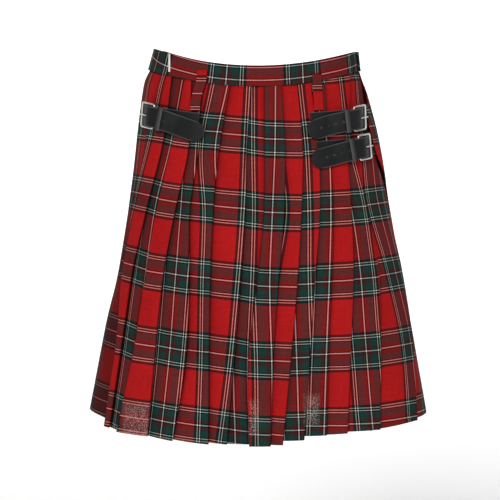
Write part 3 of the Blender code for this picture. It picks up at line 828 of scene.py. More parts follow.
def make_pleated_panel():
    """The pleated sheet, and the length of its widest row through every fold and tuck."""
    grid, threads, thin, painted_shade = [], [], [], []
    for down in rows_down(PANEL_ROW_PITCH):
        hang = down / SKIRT_LENGTH
        points, places = [], []
        path = pleat_path(down)
        for angle, out, across, face, share, _ in path:
            facts = FACES[face]
            drop = between(facts["longer_left"], facts["longer_right"], share) * MM * hang * hang
            wave = cloth_wave(on_body(angle, down, 0), down, PANEL_WAVE)
            point = on_body(angle, down, out + wave)
            point.z -= drop + (SEAM_GAP if down == 0 else 0)
            points.append(point)
            first_line = between(facts["weft_left"], facts["weft_right"], share) * MM
            if face >= SLANTED_FACES:
                first_line += SLANT * max(0.0, 1 - down / SLANT_ENDS)
            places.append((across, (down - first_line) / SETT_DOWN))
        grid.append(points)
        threads.append(places)
        thin.append([thinness(point) for point in points])
        # painted shade of each point, carried by the path
        painted_shade.append([depth for *_, depth in path])
    panel = cloth_object("kilt_pleats", grid, threads, CLOTH, (("thin", thin), ("painted_shade", painted_shade)))
    return panel, max(map(row_length, grid))


def band_out(angle):
    """How far out the waistband's middle stands on its way round."""
    stops = column(BAND_OUT_ROWS, BAND_OUT_COLUMNS, "angle")
    outs = column(BAND_OUT_ROWS, BAND_OUT_COLUMNS, "out")
    if angle <= stops[0]:
        return outs[0]
    for i in range(len(stops) - 1):
        if angle <= stops[i + 1]:
            return between(outs[i], outs[i + 1], (angle - stops[i]) / (stops[i + 1] - stops[i]))
    return outs[-1]


def free_edge(down, name):
    """One value of the over apron's free edge."""
    downs = column(FREE_EDGE_ROWS, FREE_EDGE_COLUMNS, "down")
    return smooth_rows(down / MM, downs, column(FREE_EDGE_ROWS, FREE_EDGE_COLUMNS, name))


def apron_path(down, start, end, hang_out):
    """One row of an apron as angles and distances out. It leaves the waistband's line as it hangs."""
    rise = min(1.0, down / APRON_RISE)
    path = []
    for i in range(APRON_STEPS + 1):
        share = i / APRON_STEPS
        angle = between(start, end, share)
        path.append((angle, between(band_out(angle), hang_out(share), rise)))
    return path


def over_apron_path(down):
    start = PANEL_LEFT_END - SIDE_SEAM_GAP / metres_per_radian(PANEL_LEFT_END, down)
    end = math.radians(free_edge(down, "angle_deg") - 360)
    edge_out = free_edge(down, "out_mm") * MM
    start_out = BAND_OUT * (1 - min(1.0, down / APRON_RISE))

    def hang_out(share):
        return between(start_out, edge_out, min(1.0, share / OVER_APRON_OUT_BY) ** OVER_APRON_CURVE)

    return apron_path(down, start, end, hang_out)


def under_apron_path(down):
    start = PANEL_RIGHT_END + SIDE_SEAM_GAP / metres_per_radian(PANEL_RIGHT_END, down)
    return apron_path(down, start, UNDER_FREE_EDGE, lambda share: UNDER_APRON_OUT * share)


def make_apron(name, path_at, wave_amount, phase):
    """Plain apron, and the length of its widest row. Phase is where its tartan starts in a repeat."""
    grid, threads = [], []
    for down in rows_down(APRON_ROW_PITCH):
        points, places = [], []
        for i, (angle, out) in enumerate(path_at(down)):
            spot = on_body(angle, down, 0)
            seam_wave = cloth_wave(spot, down, PANEL_WAVE)
            own_wave = cloth_wave(spot + APRON_SHIFT, down, wave_amount)
            wave = between(seam_wave, own_wave, min(1.0, i / APRON_SEAM_STEPS))
            point = on_body(angle, down, out + wave)
            point.z -= SEAM_GAP if down == 0 else 0
            points.append(point)
            line = (APRON_SIDE_LINE + APRON_LINE_DROP * abs(math.sin(angle / 2))) * MM
            across = arc(angle, down * APRON_FLARE) / SETT_ACROSS + phase
            places.append((across, (down - line) / SETT_DOWN))
        grid.append(points)
        threads.append(places)
    return cloth_object(name, grid, threads, APRON_CLOTH), max(map(row_length, grid))


def make_waistband():
    """The waistband, and its length along its middle row."""
    grid, threads = [], []
    angles = [BAND_START + (UNDER_FREE_EDGE - BAND_START) * i / BAND_STEPS for i in range(BAND_STEPS + 1)]
    middle = -BAND_HEIGHT / 2
    white_warp = arc(angle_at(BAND_WHITE_LINE, middle, BAND_OUT), middle)
    line_angles = column(BAND_LINES, BAND_LINE_COLUMNS, "angle_deg")
    line_drops = column(BAND_LINES, BAND_LINE_COLUMNS, "below_top_mm")
    for r in range(BAND_ROWS + 1):
        below_top = (BAND_HEIGHT - BAND_HEM_GAP) * r / BAND_ROWS
        down = -BAND_HEIGHT + below_top
        points, places = [], []
        for angle in angles:
            pucker = uneven(on_body(angle, down, 0), PUCKER_BUMPS) * BAND_PUCKER
            points.append(on_body(angle, down, band_out(angle) + pucker))
            line = smooth_rows(math.degrees(angle), line_angles, line_drops) * MM
            stretched = BAND_STRETCH * zero_to_one((BAND_STRETCH_FROM - angle) / BAND_STRETCH_OVER)
            across = (arc(angle, middle) - white_warp) / SETT_ACROSS + stretched
            places.append((across, (below_top - line) / SETT_DOWN))
        grid.append(points)
        threads.append(places)
    band = cloth_object("kilt_waistband", grid, threads, BAND_CLOTH)
    return band, row_length(grid[BAND_ROWS // 2])


# --- strips shaped flat, then laid on the body ----------------------------------------------------
class Line:
    """A path for a strip: its middle and the directions across it and out of it, by length along the path."""

    def __init__(self, points, across):
        self.points, self.across = points, across
        self.places = [0.0]
        for before, after in zip(points, points[1:]):
            self.places.append(self.places[-1] + (after - before).length)
        self.length = self.places[-1]

    def at(self, place):
        places = self.places
        last = len(places) - 2
        low = 0
        while low < last and places[low + 1] < place:
            low += 1
        share = (place - places[low]) / (places[low + 1] - places[low])
        centre = self.points[low].lerp(self.points[low + 1], share)
        turned = zero_to_one(share)
        across = self.across[low].lerp(self.across[low + 1], turned).normalized()
        along = self.tangent(low).lerp(self.tangent(low + 1), turned).normalized()
        return centre, across, along.cross(across).normalized()

    def tangent(self, i):
        before, after = self.points[max(i - 1, 0)], self.points[min(i + 1, len(self.points) - 1)]
        return (after - before).normalized()


def lay_along(piece, line, flip):
    """Moves a flat piece (x along, y across, z out) onto its line."""
    for vertex in piece.data.vertices:
        flat = vertex.co.copy()
        centre, across, normal = line.at(flat.x)
        vertex.co = centre + across * flat.y + normal * (flat.z * flip)
    if flip < 0:
        piece.data.flip_normals()
    piece.data.update()


class StrapLine:
    """Centre line of a strap on the body, measured from the buckle's outer bar towards the tip."""

    def __init__(self, angles, heights, full_turn):
        self.full_turn = math.radians(full_turn)
        self.angles = [math.radians(a) for a in angles]
        self.heights = [h * MM for h in heights]
        places = [0.0]
        for i in range(len(angles) - 1):
            places.append(places[-1] + self.length_between(i))
        self.places = [p - places[STATIONS.index("bar")] for p in places]

    def length_between(self, i):
        points = []
        for k in range(STATION_STEPS + 1):
            share = k / STATION_STEPS
            angle = between(self.angles[i], self.angles[i + 1], share)
            height = between(self.heights[i], self.heights[i + 1], share)
            points.append(at_height(angle, height, LEATHER_ON_CLOTH))
        return row_length(points)

    def angle(self, distance):
        return smooth_rows(distance, self.places, self.angles)

    def height(self, distance):
        return smooth_rows(distance, self.places, self.heights)

    def point(self, distance, out):
        return at_height(self.angle(distance), self.height(distance), self.lifted(distance, out))

    def turn(self, distance):
        before, past = 1 + distance / TURN_BEFORE, 1 - (distance - BUCKLE_LENGTH) / TURN_PAST
        share = zero_to_one(min(before, past))
        return self.full_turn * share * share * (3 - 2 * share)

    def lifted(self, distance, out):
        """Distance out of the middle, so that the lower edge of the turned strap stays off the cloth."""
        return out + STRAP_WIDTH / 2 * math.sin(self.turn(distance))

    def turned(self, distance, across, outward):
        cos, sin = math.cos(self.turn(distance)), math.sin(self.turn(distance))
        return across * cos + outward * sin, outward * cos - across * sin

    def axes(self, distance, out):
        """Columns along the strap, across it and out of it."""
        along = (self.point(distance + MM, out) - self.point(distance - MM, out)).normalized()
        across = up_the_cloth(self.angle(distance), self.height(distance))
        across = (across - along * across.dot(along)).normalized()
        outward = along.cross(across)
        if outward.dot(self.point(distance, out + MM) - self.point(distance, out)) < 0:
            outward = -outward
        across, outward = self.turned(distance, across, outward)
        return Matrix((along, across, outward)).transposed()


def buckle_matrix(line):
    """Place of a frame: x from its outer bar to its heel bar, y across the strap, z outwards."""
    toe, heel = line.point(0, BUCKLE_TOE_OUT), line.point(BUCKLE_LENGTH, BUCKLE_HEEL_OUT)
    along = (heel - toe).normalized()
    axes = line.axes(BUCKLE_LENGTH / 2, BUCKLE_HEEL_OUT)
    across = (axes.col[1] - along * along.dot(axes.col[1])).normalized()
    outward = axes.col[2] - along * along.dot(axes.col[2])
    outward = (outward - across * across.dot(outward)).normalized()
    turn = Matrix((along, across, outward)).transposed().to_4x4()
    return Matrix.Translation((toe + heel) / 2) @ turn


def strap_out(distance, facts, root):
    """How far out a strap's middle runs: over the frame, down past the keeper, and in to its sewn end."""
    keeper_end = facts["keeper"][1] * MM
    distances = [place * MM for place in column(STRAP_PROFILE, STRAP_PROFILE_COLUMNS, "distance_mm")]
    distances += [keeper_end + place * MM for place in column(PAST_KEEPER, PAST_KEEPER_COLUMNS, "past_mm")]
    outs = column(STRAP_PROFILE, STRAP_PROFILE_COLUMNS, "out_mm")
    outs = [out * MM for out in outs + column(PAST_KEEPER, PAST_KEEPER_COLUMNS, "out_mm")]
    if distance < 0:
        share = min(1.0, distance / root)
        return outs[0] + (facts["root_out"] * MM - outs[0]) * share * share
    return smooth_rows(distance, distances, outs)


def flat_strip(name, length, width, thickness, pitch=STRIP_PITCH, pointed=False):
    """Flat strip from a grid: x from 0 to its length, y across, z out of it. A tip narrows its far end."""
    bpy.ops.object.select_all(action="DESELECT")
    along, across = round(length / pitch), round(width / STRIP_PITCH)
    bpy.ops.mesh.primitive_grid_add(
        x_subdivisions=along, y_subdivisions=across, size=1, calc_uvs=False, location=(0, 0, 0)
    )
    piece = bpy.context.active_object
    piece.name = piece.data.name = name
    bpy.ops.object.mode_set(mode="EDIT")
    bpy.ops.transform.resize(value=(length, width, 1))
    bpy.ops.transform.translate(value=(length / 2, 0, 0))
    bpy.ops.object.mode_set(mode="OBJECT")
    if pointed:
        before = [place * MM for place in column(TIP_SHAPE, TIP_SHAPE_COLUMNS, "before_tip_mm")]
        shares = column(TIP_SHAPE, TIP_SHAPE_COLUMNS, "width_share")
        for vertex in piece.data.vertices:
            vertex.co.y *= smooth_rows(length - vertex.co.x, before, shares)
    wall = piece.modifiers.new("wall", "SOLIDIFY")
    wall.thickness = thickness
    wall.offset = 0
    edge = piece.modifiers.new("edge", "BEVEL")
    edge.width = thickness * STRIP_BEVEL_SHARE
    edge.segments = 2
    edge.limit_method = "ANGLE"
    edge.angle_limit = STRIP_BEVEL_ANGLE
    apply_modifiers(piece)
    return piece


def cut_out(piece, cutter, place, size):
    """Takes a cutter, stretched to a size and set at a place along a flat strip, out of the strip."""
    cutter.data.transform(Matrix.Translation((place, 0, 0)) @ Matrix.Diagonal((*size, 1)))
    boolean = piece.modifiers.new("hole", "BOOLEAN")
    boolean.operation = "DIFFERENCE"
    boolean.solver = "EXACT"
    boolean.object = cutter
    apply_modifiers(piece)
    bpy.data.objects.remove(cutter, do_unlink=True)


def cut_slot(piece, place, length, width):
    bpy.ops.object.select_all(action="DESELECT")
    bpy.ops.mesh.primitive_cube_add(size=1, calc_uvs=False, location=(0, 0, 0))
    cut_out(piece, bpy.context.active_object, place, (length, width, CUT_DEPTH))


def cut_hole(piece, place):
    """Round hole with a worn rim."""
    bpy.ops.object.select_all(action="DESELECT")
    bpy.ops.mesh.primitive_cylinder_add(
        vertices=HOLE_SIDES, radius=HOLE_RADIUS, depth=CUT_DEPTH, calc_uvs=False
    )
    cut_out(piece, bpy.context.active_object, place, (1, 1, 1))
    for mark, vertex in zip(piece.data.attributes["edge"].data, piece.data.vertices):
        if math.hypot(vertex.co.x - place, vertex.co.y) < HOLE_RADIUS + HOLE_RIM:
            mark.value = 1.0


def mark_edges(piece):
    """Stores how near each point is to the strap's long edges, for worn leather edges."""
    marks = piece.data.attributes.new("edge", "FLOAT", "POINT")
    for mark, vertex in zip(marks.data, piece.data.vertices):
        mark.value = max(0.0, 1.0 - (STRAP_WIDTH / 2 - abs(vertex.co.y)) / WORN_EDGE)


def finish_strip(piece, path, look_at=0.6):
    """Lays a strip on its path, its outer side away from the body, judged at one share of the way along."""
    centre, _, normal = path.at(path.length * look_at)
    away = normal.dot(Vector((centre.x, centre.y, 0))) > 0
    lay_along(piece, path, 1 if away else -1)
    select_only(piece)
    bpy.ops.object.shade_smooth_by_angle(angle=STRIP_SMOOTH_ANGLE)


def make_strap(side, line, facts):
    """Strap from its sewn root, over the frame and through the keeper, to its rounded tip."""
    root, tip = line.places[0], line.places[-1]
    places = [root + (tip - root) * i / STRAP_STEPS for i in range(STRAP_STEPS + 1)]
    points = [line.point(place, strap_out(place, facts, root)) for place in places]
    across = [line.axes(place, LEATHER_ON_CLOTH).col[1].copy() for place in places]
    path = Line(points, across)
    piece = flat_strip("strap_leather_" + side, path.length, STRAP_WIDTH, STRAP_LEATHER, pointed=True)
    mark_edges(piece)

    def along_path(distance):
        share = (distance - root) / (tip - root) * STRAP_STEPS
        low = int(share)
        return between(path.places[low], path.places[low + 1], share - low)

    cut_slot(piece, along_path(PRONG_SLOT_PLACE), PRONG_SLOT_LENGTH, PRONG_SLOT_WIDTH)
    for i in range(facts["holes"]):
        cut_hole(piece, along_path(facts["first_hole"] * MM + i * HOLE_PITCH))
    finish_strip(piece, path)
    return piece


def make_chape(side, line, facts):
    """Tab from its sewn end on the cloth, round the frame's heel bar and back over the keeper's place."""
    bar = BUCKLE_LENGTH
    end_angle, end_height = math.radians(facts["chape_end"][0]), facts["chape_end"][1] * MM
    level = line.axes(bar + TURN_PAST, CHAPE_ON_CLOTH).col[1].copy()
    points, across = [], []
    for i in range(CHAPE_STEPS):
        angle = between(end_angle, line.angle(bar), i / CHAPE_STEPS)
        height = between(end_height, line.height(bar), i / CHAPE_STEPS)
        points.append(at_height(angle, height, CHAPE_ON_CLOTH))
        lean = level * CHAPE_LEVEL_SHARE + up_the_cloth(angle, height) * (1 - CHAPE_LEVEL_SHARE)
        across.append(lean.normalized())
    plane = buckle_matrix(line)
    turn = BUCKLE_WIRE + CHAPE_LEATHER / 2 + CHAPE_BAR_GAP
    for i in range(CHAPE_TURN_STEPS + 1):
        bend = math.pi * i / CHAPE_TURN_STEPS
        points.append(plane @ Vector((bar / 2 - turn * math.sin(bend), 0, -turn * math.cos(bend))))
        across.append(plane.to_3x3().col[1].copy())
    heel = len(points) - 1 - CHAPE_TURN_STEPS // 2
    first, last = CHAPE_TOP_FROM, facts["keeper"][1] + CHAPE_PAST_KEEPER
    for place in (first * MM, (first + last) / 2 * MM, last * MM):
        points.append(line.point(place, BUCKLE_HEEL_OUT + turn))
        across.append(line.axes(place, BUCKLE_HEEL_OUT).col[1].copy())
    path = Line(points, across)
    piece = flat_strip("chape_leather_" + side, path.length, STRAP_WIDTH, CHAPE_LEATHER, CHAPE_PITCH)
    mark_edges(piece)
    cut_slot(piece, path.places[heel], CHAPE_SLOT_LENGTH, CHAPE_SLOT_WIDTH)
    finish_strip(piece, path, look_at=0.2)
    return piece


def make_keeper(side, line, facts):
    """Loop from a block whose two ends are inset and bridged into a hole."""
    bpy.ops.object.select_all(action="DESELECT")
    bpy.ops.mesh.primitive_cube_add(size=1, calc_uvs=False, location=(0, 0, 0))
    piece = bpy.context.active_object
    piece.name = piece.data.name = "keeper_leather_" + side
    first, last = (place * MM for place in facts["keeper"])
    wall = KEEPER_LEATHER
    wide, high = STRAP_WIDTH + KEEPER_SLACK + 2 * wall, KEEPER_HEIGHT + 2 * wall
    piece.data.transform(Matrix.Diagonal((last - first, wide, high, 1)))
    shape = bmesh.new()
    shape.from_mesh(piece.data)
    ends = [face for face in shape.faces if abs(face.normal.x) > ENDWAYS]
    bmesh.ops.inset_individual(shape, faces=ends, thickness=wall, use_even_offset=True)
    ends = [face for face in shape.faces if abs(face.normal.x) > ENDWAYS]
    caps = sorted(ends, key=lambda face: face.calc_area(), reverse=True)[:2]
    rims = [edge for cap in caps for edge in cap.edges]
    bmesh.ops.delete(shape, geom=caps, context="FACES_ONLY")
    bmesh.ops.bridge_loops(shape, edges=rims)
    bmesh.ops.recalc_face_normals(shape, faces=shape.faces)
    shape.to_mesh(piece.data)
    shape.free()
    edge = piece.modifiers.new("edge", "BEVEL")
    edge.width = KEEPER_BEVEL
    edge.segments = 3
    edge.limit_method = "ANGLE"
    apply_modifiers(piece)
    marks = piece.data.attributes.new("edge", "FLOAT", "POINT")
    for mark, vertex in zip(marks.data, piece.data.vertices):
        mark.value = 1.0 if (last - first) / 2 - vertex.co.x < KEEPER_WORN else 0.0
    middle = (first + last) / 2
    place = Matrix.Translation(line.point(middle, KEEPER_OUT)) @ line.axes(middle, KEEPER_OUT).to_4x4()
    piece.data.transform(place)
    if place.determinant() < 0:
        piece.data.flip_normals()
    bpy.ops.object.shade_smooth_by_angle(angle=KEEPER_SMOOTH_ANGLE)
    return piece


def tube(name, points, radius, closed, taper=None):
    """Round wire: a ring of points round each place on its middle line, joined to the next."""
    shape = bmesh.new()
    count = len(points)
    rings = []
    up = None
    for i, point in enumerate(points):
        before = points[(i - 1) % count] if closed else points[max(i - 1, 0)]
        after = points[(i + 1) % count] if closed else points[min(i + 1, count - 1)]
        along = (after - before).normalized()
        if up is None:
            up = along.orthogonal().normalized()
        up = (up - along * up.dot(along)).normalized()
        side = along.cross(up)
        size = radius * (taper[i] if taper else 1.0)
        ring_points = []
        for k in range(WIRE_SIDES):
            turn = 2 * math.pi * k / WIRE_SIDES
            ring_points.append(shape.verts.new(point + (up * math.cos(turn) + side * math.sin(turn)) * size))
        rings.append(ring_points)
    pairs = list(zip(rings, rings[1:])) + ([(rings[-1], rings[0])] if closed else [])
    for lower, upper in pairs:
        for k in range(WIRE_SIDES):
            j = (k + 1) % WIRE_SIDES
            shape.faces.new((lower[k], lower[j], upper[j], upper[k]))
    if not closed:
        shape.faces.new(rings[0])
        shape.faces.new(rings[-1])
    bmesh.ops.recalc_face_normals(shape, faces=shape.faces)
    mesh = bpy.data.meshes.new(name)
    shape.to_mesh(mesh)
    shape.free()
    piece = new_object(name, mesh)
    select_only(piece)
    bpy.ops.object.shade_smooth_by_angle(angle=WIRE_SMOOTH_ANGLE)
    return piece


def make_buckle(side, line):
    """Frame of round wire with four rounded corners."""
    plane = buckle_matrix(line)
    points = []
    for quarter, (x_side, y_side) in enumerate(((1, 1), (-1, 1), (-1, -1), (1, -1))):
        for turn in range(90 * quarter, 90 * quarter + 91, 15):
            bend = math.radians(turn)
            x = x_side * (BUCKLE_LENGTH / 2 - BUCKLE_CORNER) + BUCKLE_CORNER * math.cos(bend)
            y = y_side * (BUCKLE_HEIGHT / 2 - BUCKLE_CORNER) + BUCKLE_CORNER * math.sin(bend)
            points.append(plane @ Vector((x, y, 0)))
    return tube("buckle_wire_" + side, points, BUCKLE_WIRE, closed=True)


def make_prong(side, line):
    """Wire that hooks round the heel bar, dips through the strap and rests over the outer bar."""
    half = BUCKLE_LENGTH / 2
    hook = BUCKLE_WIRE + PRONG_WIRE + PRONG_BAR_GAP
    plane = buckle_matrix(line)
    points, taper = [], []
    for i in range(PRONG_HOOK_STEPS + 1):
        turn = math.radians(PRONG_HOOK_FROM + PRONG_HOOK_TURN * i / PRONG_HOOK_STEPS)
        points.append(plane @ Vector((half + hook * math.cos(turn), 0, hook * math.sin(turn))))
        taper.append(1.0)
    for row in named_rows(PRONG_ROWS, PRONG_COLUMNS):
        points.append(plane @ Vector((half - row["past_heel_mm"] * MM, 0, row["out_mm"] * MM)))
        taper.append(row["thickness"])
    return tube("prong_wire_" + side, points, PRONG_WIRE, closed=False, taper=taper)


def make_belt_loop(side, stops):
    """Loop of cloth over the waistband and the first pleats, and its length."""
    points, across = [], []
    numbers = list(range(len(stops)))
    sizes = [column(stops, LOOP_COLUMNS, name) for name in LOOP_COLUMNS]
    for i in range(LOOP_STEPS + 1):
        share = i / LOOP_STEPS * (len(stops) - 1)
        x, z, out = (smooth_rows(share, numbers, values) * MM for values in sizes)
        angle = angle_at(x, max(0.0, -z), LOOP_OUT)
        points.append(at_height(angle, z, out))
        before, after = (at_height(angle + lean, z, out) for lean in (-LOOP_SLOPE_ANGLE, LOOP_SLOPE_ANGLE))
        across.append((after - before).normalized())
    path = Line(points, across)
    piece = flat_strip("belt_loop_cloth_" + side, path.length, LOOP_WIDTH, LOOP_CLOTH)
    layer = piece.data.uv_layers.new(name="threads")
    for loop in piece.data.loops:
        spot = piece.data.vertices[loop.vertex_index].co
        down = (spot.x - LOOP_WHITE_LINES[side]) / SETT_DOWN
        layer.data[loop.index].uv = (LOOP_THREADS + spot.y / SETT_ACROSS, down)
    finish_strip(piece, path)
    return piece, path.length


# --- materials ------------------------------------------------------------------------------------
def new_group(name, inputs, outputs):
    group = bpy.data.node_groups.new(name, "ShaderNodeTree")
    for label, kind, value in inputs:
        socket = group.interface.new_socket(name=label, in_out="INPUT", socket_type=kind)
        if value is not None:
            socket.default_value = value
    for label, kind in outputs:
        group.interface.new_socket(name=label, in_out="OUTPUT", socket_type=kind)
    return group, group.nodes.new("NodeGroupInput"), group.nodes.new("NodeGroupOutput")


def feed(group, socket, value):
    """Gives a socket a plain value or another node's output."""
    if hasattr(value, "is_linked"):
        group.links.new(value, socket)
    else:
        socket.default_value = value


def math_node(group, operation, *values):
    node = group.nodes.new("ShaderNodeMath")
    node.operation = operation
    for socket, value in zip(node.inputs, values):
        feed(group, socket, value)
    return node.outputs[0]


def mix_colours(group, share, first, second, blend="MIX"):
    node = group.nodes.new("ShaderNodeMix")
    node.data_type = "RGBA"
    node.blend_type = blend
    for socket, value in ((node.inputs[0], share), (node.inputs[6], first), (node.inputs[7], second)):
        feed(group, socket, value)
    return node.outputs[2]


def yarn_colour(yarn):
    """Colour of a yarn, raised to the power at which crossed yarns are averaged."""
    return (*(part**YARN_POWER for part in YARNS[yarn]), 1)


def yarn_colours(group, place):
    """Colour of the yarn at a thread place, mirrored about the middle of each repeat."""
    folded = math_node(group, "PINGPONG", place, 0.5)
    ramp = group.nodes.new("ShaderNodeValToRGB")
    ramp.color_ramp.interpolation = "CONSTANT"
    stops = ramp.color_ramp.elements
    while len(stops) > 1:
        stops.remove(stops[-1])
    stops[0].position = 0
    stops[0].color = yarn_colour(THREAD_CHART[0][1])
    for place_of, yarn in THREAD_CHART[1:]:
        stops.new(place_of).color = yarn_colour(yarn)
    group.links.new(folded, ramp.inputs[0])
    return ramp.outputs[0]


def make_tartan_group():
    """Warp and weft yarn colours crossed in a 2/2 twill."""
    group, given, out = new_group(
        "tartan_twill",
        [
            ("Threads", "NodeSocketVector", None),
            ("Twill", "NodeSocketFloat", 0.5),
            ("Lines", "NodeSocketFloat", 56.0),
        ],
        [("Colour", "NodeSocketColor"), ("Height", "NodeSocketFloat")],
    )
    split = group.nodes.new("ShaderNodeSeparateXYZ")
    group.links.new(given.outputs["Threads"], split.inputs[0])
    across, down = split.outputs[0], split.outputs[1]
    warp, weft = yarn_colours(group, across), yarn_colours(group, down)
    both = math_node(group, "SUBTRACT", across, down)
    twill = math_node(group, "FRACT", math_node(group, "MULTIPLY", both, given.outputs["Lines"]))
    wave = math_node(group, "PINGPONG", twill, 0.5)
    wave = math_node(group, "MULTIPLY", wave, 2.0)
    swing = math_node(group, "MULTIPLY", math_node(group, "SUBTRACT", wave, 0.5), given.outputs["Twill"])
    share = math_node(group, "ADD", swing, 0.5)
    colour = mix_colours(group, share, warp, weft)
    back = group.nodes.new("ShaderNodeGamma")
    back.inputs["Gamma"].default_value = 1 / YARN_POWER
    group.links.new(colour, back.inputs["Color"])
    group.links.new(back.outputs[0], out.inputs["Colour"])
    group.links.new(wave, out.inputs["Height"])
    return group


def principled(name, roughness, metallic=0.0):
    material = bpy.data.materials.new(name)
    material.use_nodes = True
    shader = material.node_tree.nodes["Principled BSDF"]
    shader.inputs["Roughness"].default_value = roughness
    shader.inputs["Metallic"].default_value = metallic
    return material, material.node_tree, shader


def bump_to(tree, shader, height, strength, distance):
    bump = tree.nodes.new("ShaderNodeBump")
    bump.inputs["Strength"].default_value = strength
    bump.inputs["Distance"].default_value = distance
    tree.links.new(height, bump.inputs["Height"])
    tree.links.new(bump.outputs[0], shader.inputs["Normal"])


def noise_node(tree, vector, scale, detail, roughness):
    node = tree.nodes.new("ShaderNodeTexNoise")
    node.inputs["Scale"].default_value = scale
    node.inputs["Detail"].default_value = detail
    node.inputs["Roughness"].default_value = roughness
    tree.links.new(vector, node.inputs["Vector"])
    return node.outputs[0]


def uneven_level(tree, vector, look):
    """Brightness that wanders between a least value and a swing above it."""
    lines = noise_node(tree, vector, look["scale"], look["detail"], look["roughness"])
    return math_node(tree, "MULTIPLY_ADD", lines, look["swing"], look["least"])


def surface_mark(tree, name):
    node = tree.nodes.new("ShaderNodeAttribute")
    node.attribute_name = name
    return node.outputs["Fac"]


def streaks(tree, threads, repeats):
    """Uneven yarns: brightness in fine lines along one thread direction."""
    stretch = tree.nodes.new("ShaderNodeMapping")
    stretch.inputs["Scale"].default_value = repeats
    tree.links.new(threads, stretch.inputs["Vector"])
    return uneven_level(tree, stretch.outputs[0], UNEVEN["yarn"])


def stitched_bar(tree, spot):
    """Mask of the bar of white stitches up the waistband."""
    split = tree.nodes.new("ShaderNodeSeparateXYZ")
    tree.links.new(spot, split.inputs[0])
    aside = math_node(tree, "ABSOLUTE", math_node(tree, "SUBTRACT", split.outputs[0], BAR_SIDE))
    above = math_node(tree, "ABSOLUTE", math_node(tree, "SUBTRACT", split.outputs[2], BAR_HEIGHT))
    mask = math_node(tree, "LESS_THAN", aside, BAR_WIDTH / 2)
    mask = math_node(tree, "MULTIPLY", mask, math_node(tree, "LESS_THAN", above, BAR_LENGTH / 2))
    return math_node(tree, "MULTIPLY", mask, math_node(tree, "LESS_THAN", split.outputs[1], 0.0))


def tartan_wool(tartan):
    """Wool with a thin shine, uneven yarns, painted shade beside folds and in tucks, and worn patches."""
    material, tree, shader = principled("tartan_wool", roughness=0.92)
    shader.inputs["Specular IOR Level"].default_value = 0.08
    threads = tree.nodes.new("ShaderNodeUVMap")
    threads.uv_map = "threads"
    threads = threads.outputs[0]
    cloth = tree.nodes.new("ShaderNodeGroup")
    cloth.node_tree = tartan
    cloth.inputs["Twill"].default_value = 0.35
    cloth.inputs["Lines"].default_value = 60.0
    tree.links.new(threads, cloth.inputs["Threads"])
    spot = tree.nodes.new("ShaderNodeTexCoord").outputs["Object"]
    fuzz = uneven_level(tree, spot, UNEVEN["fuzz"])
    level = math_node(tree, "MULTIPLY", fuzz, uneven_level(tree, spot, UNEVEN["cloud"]))
    level = math_node(tree, "MULTIPLY", level, streaks(tree, threads, WARP_STREAKS))
    level = math_node(tree, "MULTIPLY", level, streaks(tree, threads, WEFT_STREAKS))
    # painted shade: the mark darkens the cloth beside folds, in tucks and on the lower leftmost face
    painted_shade = math_node(tree, "MULTIPLY_ADD", surface_mark(tree, "painted_shade"), -PAINTED_SHADE_STRENGTH, 1.0)
    level = math_node(tree, "MULTIPLY", level, painted_shade)
    grey = tree.nodes.new("ShaderNodeCombineColor")
    for i in range(3):
        tree.links.new(level, grey.inputs[i])
    speck = noise_node(tree, spot, scale=650.0, detail=1.0, roughness=0.5)
    speck = math_node(tree, "GREATER_THAN", speck, SPECK_LEVEL)
    speck = math_node(tree, "MULTIPLY", speck, surface_mark(tree, "thin"))
    speck = math_node(tree, "MULTIPLY", speck, SPECK_STRENGTH)
    weave = mix_colours(tree, speck, cloth.outputs["Colour"], WORN_WOOL)
    weave = mix_colours(tree, stitched_bar(tree, spot), weave, BAR_STITCHES)
    colour = mix_colours(tree, 1.0, weave, grey.outputs[0], "MULTIPLY")
    tree.links.new(colour, shader.inputs["Base Color"])
    bump_to(tree, shader, cloth.outputs["Height"], strength=0.25, distance=0.25 * MM)
    return material


def black_leather():
    """Grained leather, greyer where its edges are worn."""
    material, tree, shader = principled("black_leather", roughness=0.5)
    shader.inputs["Specular IOR Level"].default_value = 0.16
    spot = tree.nodes.new("ShaderNodeTexCoord").outputs["Object"]
    grain = noise_node(tree, spot, scale=900.0, detail=3.0, roughness=0.6)
    slow = noise_node(tree, spot, scale=60.0, detail=2.0, roughness=0.5)
    worn = math_node(tree, "MULTIPLY", surface_mark(tree, "edge"), LEATHER_WEAR)
    base = mix_colours(tree, slow, DEEP_LEATHER, OPEN_LEATHER)
    colour = mix_colours(tree, worn, base, WORN_LEATHER)
    tree.links.new(colour, shader.inputs["Base Color"])
    rough = math_node(tree, "MULTIPLY_ADD", grain, 0.25, 0.38)
    tree.links.new(rough, shader.inputs["Roughness"])
    bump_to(tree, shader, grain, strength=0.35, distance=0.2 * MM)
    return material


def nickel_wire():
    material, tree, shader = principled("nickel_wire", roughness=0.3, metallic=0.75)
    spot = tree.nodes.new("ShaderNodeTexCoord").outputs["Object"]
    tarnish = noise_node(tree, spot, scale=260.0, detail=3.0, roughness=0.6)
    colour = mix_colours(tree, tarnish, DULL_NICKEL, BRIGHT_NICKEL)
    tree.links.new(colour, shader.inputs["Base Color"])
    return material


def pale_stage():
    material, _, shader = principled("pale_stage", roughness=0.95)
    shader.inputs["Base Color"].default_value = (0.93, 0.93, 0.93, 1)
    shader.inputs["Emission Color"].default_value = (1, 1, 1, 1)
    shader.inputs["Emission Strength"].default_value = 0.3
    return material


def give(piece, material, node):
    """Gives a piece its finish and lets it stand for its solid."""
    piece.data.materials.clear()
    piece.data.materials.append(material)
    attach(piece, "root")
    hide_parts(node)


